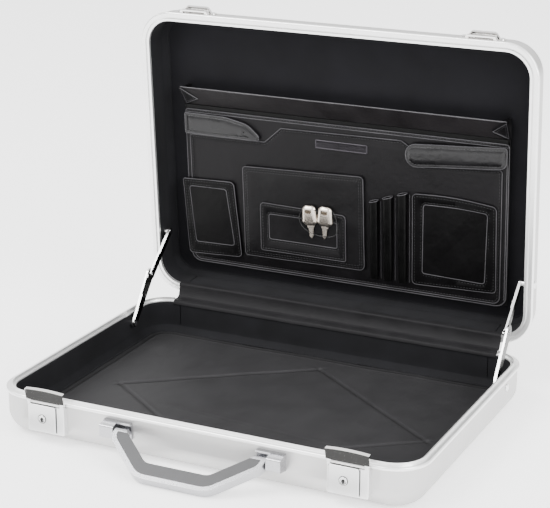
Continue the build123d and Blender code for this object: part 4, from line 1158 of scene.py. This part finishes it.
@dataclass
class KeyPair:
    """Two spare keys with barrel bows, on a loop of thread."""

    places: tuple[tuple[float, float, float], ...] = ((-34.8, 107.8, -86.0), (-16.4, 108.8, -93.0))
    low: float = -18.8
    bow_width: float = 18.2
    bow_length: float = 22.4
    bow_thick: float = 5.6
    blade: float = 15.4

    def build(self) -> None:
        """Make the keys and their thread."""
        keys = Piece("spare_keys", LID)
        for x, v, angle in self.places:
            turn = Matrix.Rotation(math.radians(angle), 4, "Z")
            self.one(keys, Matrix.Translation((x, v, self.low)) @ turn)
        keys.finish(Look.KEY, "lid", ("keys",), sharp=32)
        self.thread()

    def one(self, keys: Piece, place: Matrix) -> None:
        """One key: flat barrel bow with an eye, collar, tapered blade and cuts."""
        half_l, half_w, top = self.bow_length / 2, self.bow_width / 2, self.bow_thick
        draft = Piece("draft", LID)
        bow = Outline([(-half_l, -half_w * 0.82), (half_l - 4, -half_w), (half_l, -half_w * 0.55),
                       (half_l, half_w * 0.55), (half_l - 4, half_w), (-half_l, half_w * 0.82)],
                      [4.5, 2.5, 2.0, 2.0, 2.5, 4.5])
        counts = [1, 0, 0, 0, 1, 1]
        bow = Outline(bow.corners, bow.radii, counts)
        eye = Outline([(-half_l + 4.4, -3.6), (-half_l + 6.6, -3.6), (-half_l + 7.8, -1.8),
                       (-half_l + 7.8, 1.8), (-half_l + 6.6, 3.6), (-half_l + 4.4, 3.6)],
                      [1.8, 1.0, 1.0, 1.0, 1.0, 1.8], counts)
        draft.terrace(bow, [(0.6, 0), (0, 0.8), (0, top - 2.8), (1.0, top - 1.5), (2.4, top - 0.4),
                            (3.6, top)], eye, [(0.3, 0), (0, 0.6), (0, top - 0.9), (0.3, top - 0.3)])
        run = [(half_l - 0.5, -4.2), (half_l + 2.6, -4.0), (half_l + 3.8, -2.6), (half_l + 6.2, -2.9),
               (half_l + 7.2, -1.6), (half_l + 8.6, -2.9), (half_l + 10.2, -1.5), (half_l + 11.6, -2.6),
               (half_l + self.blade - 2.4, -2.0), (half_l + self.blade, 0.3),
               (half_l + self.blade - 3.4, 2.6), (half_l + 3.8, 3.0), (half_l + 2.6, 4.2),
               (half_l - 0.5, 4.2)]
        draft.terrace(Outline(run, [0.2] * len(run), arcs=1), [(0, 0.4), (0, 1.6), (0.3, 2.0)])
        draft.bm.transform(place)
        made = bpy.data.meshes.new("draft")
        draft.bm.to_mesh(made)
        draft.bm.free()
        keys.bm.from_mesh(made)
        bpy.data.meshes.remove(made)

    def thread(self) -> None:
        """Loop of thread that hangs from the bows."""
        loop = Piece("key_loop", LID)
        route = [(-31, 116, -14.8), (-37.5, 119, -17), (-47, 110, -18.2), (-48.5, 100, -18.3),
                 (-43, 91, -18.3), (-30, 86.5, -16.3), (-15, 85, -16.3), (-4, 87.5, -18.2),
                 (-2, 97, -18.3), (-4, 110, -18), (-9, 118.5, -17), (-14.6, 116.5, -14.8),
                 (-22, 114.5, -15.2)]
        data = bpy.data.curves.new("loop_guide", "CURVE")
        data.dimensions = "3D"
        spline = data.splines.new("NURBS")
        spline.points.add(len(route) - 1)
        for point, place in zip(spline.points, route):
            point.co = (*place, 1)
        spline.order_u = 3
        spline.use_cyclic_u = True
        spline.resolution_u = 6
        line = Piece.meshed(data)
        loop.cord_round([vert.co.copy() for vert in line.vertices], 0.35)
        bpy.data.meshes.remove(line)
        loop.finish(Look.COTTON, "lid", ("key_thread",), sharp=80)


@dataclass
class Organizer:
    """Everything that the lid carries: board, pockets, straps, sleeves, plate and keys."""

    base: float = -24.9
    raised: float = -22.8
    windows: tuple[Points, ...] = (
        [(-179, 56), (-131, 57), (-139, 123), (-185, 122)],
        [(95, 57.5), (165, 55.5), (167, 133.5), (96, 135)],
        [(-85, 73), (-3.5, 73), (-3.5, 102), (-85, 102)],
    )

    def patches(self) -> list[Patch]:
        """The flat leather pieces, from the bottom layer up."""
        return [
            Patch("strap_leather_left",
                  [(-188, 184), (-95.5, 184), (-97, 190), (-110, 202), (-138, 207.5), (-188, 208)],
                  [2, 3, 9, 26, 26, 2], self.base, 2.6, ("file_strap_left",), crown=STRAP_CROWN,
                  look=Look.STRAP),
            Patch("strap_leather_right", [(76, 176), (187.5, 186), (187.5, 209.5), (75, 202)],
                  [12, 9, 3, 12], self.raised, 2.4, ("file_strap_right",), crown=STRAP_CROWN,
                  look=Look.STRAP),
            Patch("window_leather_left", [(-188.5, 41), (-122, 44), (-129, 133), (-193.5, 130.5)],
                  [4, 5, 6, 3], self.base, 3.2, ("window_pocket_left",), self.windows[0], [3, 3, 3, 3],
                  look=Look.FRAME),
            Patch("window_leather_right", [(83, 43), (178, 46), (177, 143), (83, 147)],
                  [5, 5, 5, 5], self.base, 3.2, ("window_pocket_right",), self.windows[1], [3, 3, 3, 3],
                  bow=3.0, look=Look.FRAME),
            Patch("centre_leather", [(-117.5, 48), (28, 50), (27, 158.5), (-117.5, 153.5)],
                  [4, 6, 4.5, 4], self.base, 3.6, ("centre_pocket",), double=True),
            Patch("card_leather", [(-96, 58), (7, 58), (7, 112), (-96, 115)],
                  [3, 3, 5, 5], -21.2, 2.2, ("card_pocket",), self.windows[2], [2, 2, 2, 2]),
        ]

    def film(self) -> None:
        """Clear windows, slightly slack in their frames."""
        film = Piece("window_film", LID)
        for window, n in zip(self.windows, (-23.9, -23.9, -20.9)):
            slack = [(0, n), (2.0, n + 0.15), (8, n + 0.4), (12, n + 0.5)]
            film.terrace(Outline(window, [3, 3, 3, 3]), slack, capped=False)
        film.ripple(0.12, 22.0, 5.0)
        film.finish(Look.FILM, "lid", ("pocket_windows",), sharp=80)

    def plate(self) -> None:
        """Bare name plate with a turned-up border."""
        plate = Piece("bare_plate", LID)
        plate.terrace(box_outline(-30, 31, 183.4, 193.4, 1.5),
                      [(0, -24.9), (0, -24.2), (0.3, -23.9), (1.0, -23.85), (1.3, -24.1), (1.8, -24.1)])
        plate.finish(Look.PLATE, "lid", ("name_plate",))

    def build(self) -> None:
        """Make the organizer from the back forwards."""
        Board().build()
        FilePocket().build()
        for patch in self.patches():
            patch.build()
        PenSleeves().build()
        self.film()
        self.plate()
        KeyPair().build()


# ---------------------------------------------------------------- studio
@dataclass
class Studio:
    """Pale floor, soft lights, and the camera."""

    spot: tuple[float, float, float] = (0.702, -1.47756, 0.68996)
    azimuth: float = 25.24
    elevation: float = 17.78
    roll: float = 0.42
    lens: float = 112.81
    shift: Pair = (0.00269, 0.01058)
    glow: float = 1.1               # of the floor paper
    sky_low: float = 1.5            # the sky's strength near the horizon and overhead
    sky_high: float = 2.3
    cards: tuple[tuple[str, float], ...] = (("right", 0.133), ("left", -0.19))
    card_y: float = -0.21
    card: Pair = (0.066, 0.024)

    def camera(self) -> None:
        """Place the camera at its viewing angle."""
        a, e, r = (math.radians(x) for x in (self.azimuth, self.elevation, self.roll))
        back = Vector((math.sin(a) * math.cos(e), -math.cos(a) * math.cos(e), math.sin(e)))
        side = (-back).cross(Vector((0, 0, 1))).normalized()
        up = side.cross(-back)
        right = math.cos(r) * side + math.sin(r) * up
        top = -math.sin(r) * side + math.cos(r) * up
        data = bpy.data.cameras.new("camera")
        data.lens, data.sensor_width, data.sensor_fit = self.lens, 36, "HORIZONTAL"
        data.shift_x, data.shift_y = self.shift
        data.clip_start, data.clip_end = 0.05, 50
        eye = bpy.data.objects.new("camera", data)
        eye.matrix_world = Matrix.Translation(self.spot) @ Matrix((right, top, back)).transposed().to_4x4()
        bpy.context.scene.collection.objects.link(eye)
        bpy.context.scene.camera = eye

    def lamp(self, name: str, at: tuple, aim: tuple, size: tuple, power: float) -> None:
        """Soft rectangular light.

        Args:
            name: the light's name.
            at: its place, in metres.
            aim: the point it faces.
            size: its width and height, in metres.
            power: watts.
        """
        data = bpy.data.lights.new(name, "AREA")
        data.shape, data.size, data.size_y, data.energy = "RECTANGLE", *size, power
        lamp = bpy.data.objects.new(name, data)
        lamp.location = at
        lamp.rotation_euler = (Vector(aim) - Vector(at)).to_track_quat("-Z", "Y").to_euler()
        bpy.context.scene.collection.objects.link(lamp)

    def flag(self, name: str, at: tuple, size: tuple) -> None:
        """Black card on the floor that only shows as a reflection in the polished metal."""
        bm = bmesh.new()
        shape = Matrix.Translation(at) @ Matrix.Diagonal((*size, 1, 1))
        bmesh.ops.create_grid(bm, x_segments=2, y_segments=2, size=0.5, matrix=shape)
        data = bpy.data.meshes.new(name)
        bm.to_mesh(data)
        bm.free()
        card = bpy.data.objects.new(name, data)
        bpy.context.scene.collection.objects.link(card)
        data.materials.append(Paint.get(Look.SHADOW_AND_FLAG_BLACK))
        card.visible_camera = card.visible_diffuse = card.visible_shadow = False

    def build(self) -> None:
        """Make the floor, the lights and the camera."""
        bm = bmesh.new()
        bmesh.ops.create_grid(bm, x_segments=1, y_segments=1, size=6)
        data = bpy.data.meshes.new("floor")
        bm.to_mesh(data)
        bm.free()
        floor = bpy.data.objects.new("floor", data)
        bpy.context.scene.collection.objects.link(floor)
        g = Graph("floor_paper")
        g.fix(Base_Color=(0.9, 0.9, 0.9, 1), Roughness=0.9, Specular_IOR_Level=0.1,
              Emission_Color=(1, 1, 1, 1), Emission_Strength=self.glow)
        data.materials.append(g.material)
        world = bpy.data.worlds.new("studio")
        world.use_nodes = True
        sky = world.node_tree
        way = sky.nodes.new("ShaderNodeTexCoord")
        split = sky.nodes.new("ShaderNodeSeparateXYZ")
        ramp = sky.nodes.new("ShaderNodeMapRange")
        sky.nodes["Background"].inputs[0].default_value = (1, 1, 1, 1)
        for name, number in (("From Min", 0.1), ("From Max", 0.6), ("To Min", self.sky_low),
                             ("To Max", self.sky_high)):
            ramp.inputs[name].default_value = number
        sky.links.new(way.outputs["Generated"], split.inputs[0])
        sky.links.new(split.outputs["Z"], ramp.inputs["Value"])
        sky.links.new(ramp.outputs[0], sky.nodes["Background"].inputs[1])
        bpy.context.scene.world = world
        for word, x in self.cards:
            self.flag(f"flag_{word}", (x, self.card_y, 0.001), self.card)
        self.lamp("key", (-1.1, -1.2, 2.2), (0, 0, 0.1), (1.6, 1.2), 80)
        self.lamp("fill", (1.8, -0.8, 1.2), (0, 0, 0.15), (1.2, 1.2), 50)
        self.camera()


@dataclass
class LockGapShadows:
    """Painted gap shadows: black strips round a lock's cover, a black ring round its cylinder and a black
    keyhole.
    """

    side: int
    front: float = -167.5       # face of the housing
    ring: float = 4.3
    eye: float = 1.45

    @staticmethod
    def facing(x: float, y: float, z: float) -> Axes:
        """Axes of a drawing on the case's front, from a place in millimetres."""
        return Axes(Vector((x, y, z)), Vector((0, 0, 1)), Vector((0, -1, 0)))

    @staticmethod
    def span(name: str) -> tuple[Vector, Vector]:
        """Lowest and highest corner of a CAD node, in millimetres."""
        places = [vert.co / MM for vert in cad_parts[name].data.vertices]
        return tuple(Vector([pick(p[axis] for p in places) for axis in range(3)]) for pick in (min, max))

    def build(self) -> None:
        """Make the black strips of painted gap shadow on the housing and the slide, and the black ring and
        keyhole of painted shade on the cylinder.
        """
        word = "left" if self.side < 0 else "right"
        low, high = self.span(f"lock_slide_{word}")
        drum_low, drum_high = self.span(f"key_cylinder_{word}")
        middle = (drum_low + drum_high) / 2
        plain = self.facing(0, self.front, 0)
        # Black strip above the slide: painted shadow in the gap.
        top_gap_shadow = Piece(f"lock_top_gap_shadow_{word}", plain)
        top_gap_shadow.terrace(box_outline(low.x + 1, high.x, high.z + 0.1, high.z + 0.8, 0.1),
                     [(0, 0.0), (0, 0.25), (0.08, 0.3)], cell=40.0)
        top_gap_shadow.finish(Look.SHADOW_AND_FLAG_BLACK, "base")
        # Black strips beside the slide: painted shadow in the gaps.
        edge = Piece(f"slide_gap_shadow_{word}", plain)
        for left, right in ((low.x - 0.7, low.x - 0.1), (high.x + 0.1, high.x + 0.8)):
            edge.terrace(box_outline(left, right, low.z + 1, high.z - 1, 0.1),
                         [(0, 0.05), (0, 0.25), (0.08, 0.3)], cell=40.0)
        edge.finish(Look.SHADOW_AND_FLAG_BLACK, f"slide_{word}")
        # Black disc and slot on the cylinder: painted shade in the keyhole.
        hole = Piece(f"keyhole_{word}", self.facing(middle.x, drum_low.y, middle.z))
        eye = self.eye
        round_eye = Outline([(-eye, -eye), (eye, -eye), (eye, eye), (-eye, eye)], [eye * 0.98] * 4)
        for shape in (round_eye, box_outline(-0.55, 0.55, -3.0, 0, 0.2)):
            hole.terrace(shape, [(0, -0.1), (0, 0.05), (0.1, 0.08)], cell=40.0)
        hole.finish(Look.SHADOW_AND_FLAG_BLACK, f"key_{word}")
        # Black ring round the cylinder: painted shadow in its gap.
        ring_shadow = Piece(f"cylinder_gap_shadow_{word}", self.facing(middle.x, low.y, middle.z))
        turns = (math.tau * i / 32 for i in range(32))
        ring = [Vector((self.ring * math.cos(a), self.ring * math.sin(a), 0.1)) for a in turns]
        ring_shadow.cord_round(ring, 0.35)
        ring_shadow.finish(Look.SHADOW_AND_FLAG_BLACK, f"slide_{word}")


class Metalwork:
    """Metal CAD nodes that keep their shape."""

    looks: dict[Look, tuple[str, ...]] = {
        Look.TRAY: ("base_shell", "lid_shell"),
        Look.RIM: ("base_frame", "lid_frame"),
        Look.SATIN: ("lock_housing_left", "lock_housing_right", "lock_slide_left", "lock_slide_right"),
        Look.CHROME: ("hasp_left", "hasp_right", "keeper_left", "keeper_right"),
        Look.BRIGHT: ("hasp_pin_left", "hasp_pin_right", "key_cylinder_left", "key_cylinder_right",
                      "keeper_screws", "handle_pins", "stay_rivets_base", "stay_rivets_lid"),
        Look.CAST: ("handle_bracket_left", "handle_bracket_right", "handle_bow"),
        Look.NICKEL: ("hinge_leaf_base", "hinge_leaf_lid", "hinge_pin", "base_studs", "lid_studs"),
        Look.STAY: ("stay_lower_left", "stay_lower_right", "stay_upper_left", "stay_upper_right"),
        Look.GRIP: ("handle_pad",),
    }

    def build(self) -> None:
        """Give each node its finish; nodes that a piece stands for get the finish below it."""
        dressed = set()
        for look, names in self.looks.items():
            for name in names:
                Paint.node(name, look)
                dressed.add(name)
        for name in sorted(set(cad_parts) - dressed):
            Paint.node(name, Look.LEATHER)


def main() -> None:
    """Build the case and the studio."""
    logging.basicConfig(level=logging.INFO)
    Metalwork().build()
    FloorPad().build()
    WallLining("base_wall_padding", "base", "base_wall_liner", BASE, 0.0, -2.4, -36.5).build()
    WallLining("lid_wall_padding", "lid", "lid_wall_liner", LID, HALF_DEPTH, -3.8, -35.0).build()
    LidLining().build()
    HingeFlap().build()
    Organizer().build()
    LockGapShadows(-1).build()
    LockGapShadows(1).build()
    Studio().build()


if __name__ == "__main__":
    main()
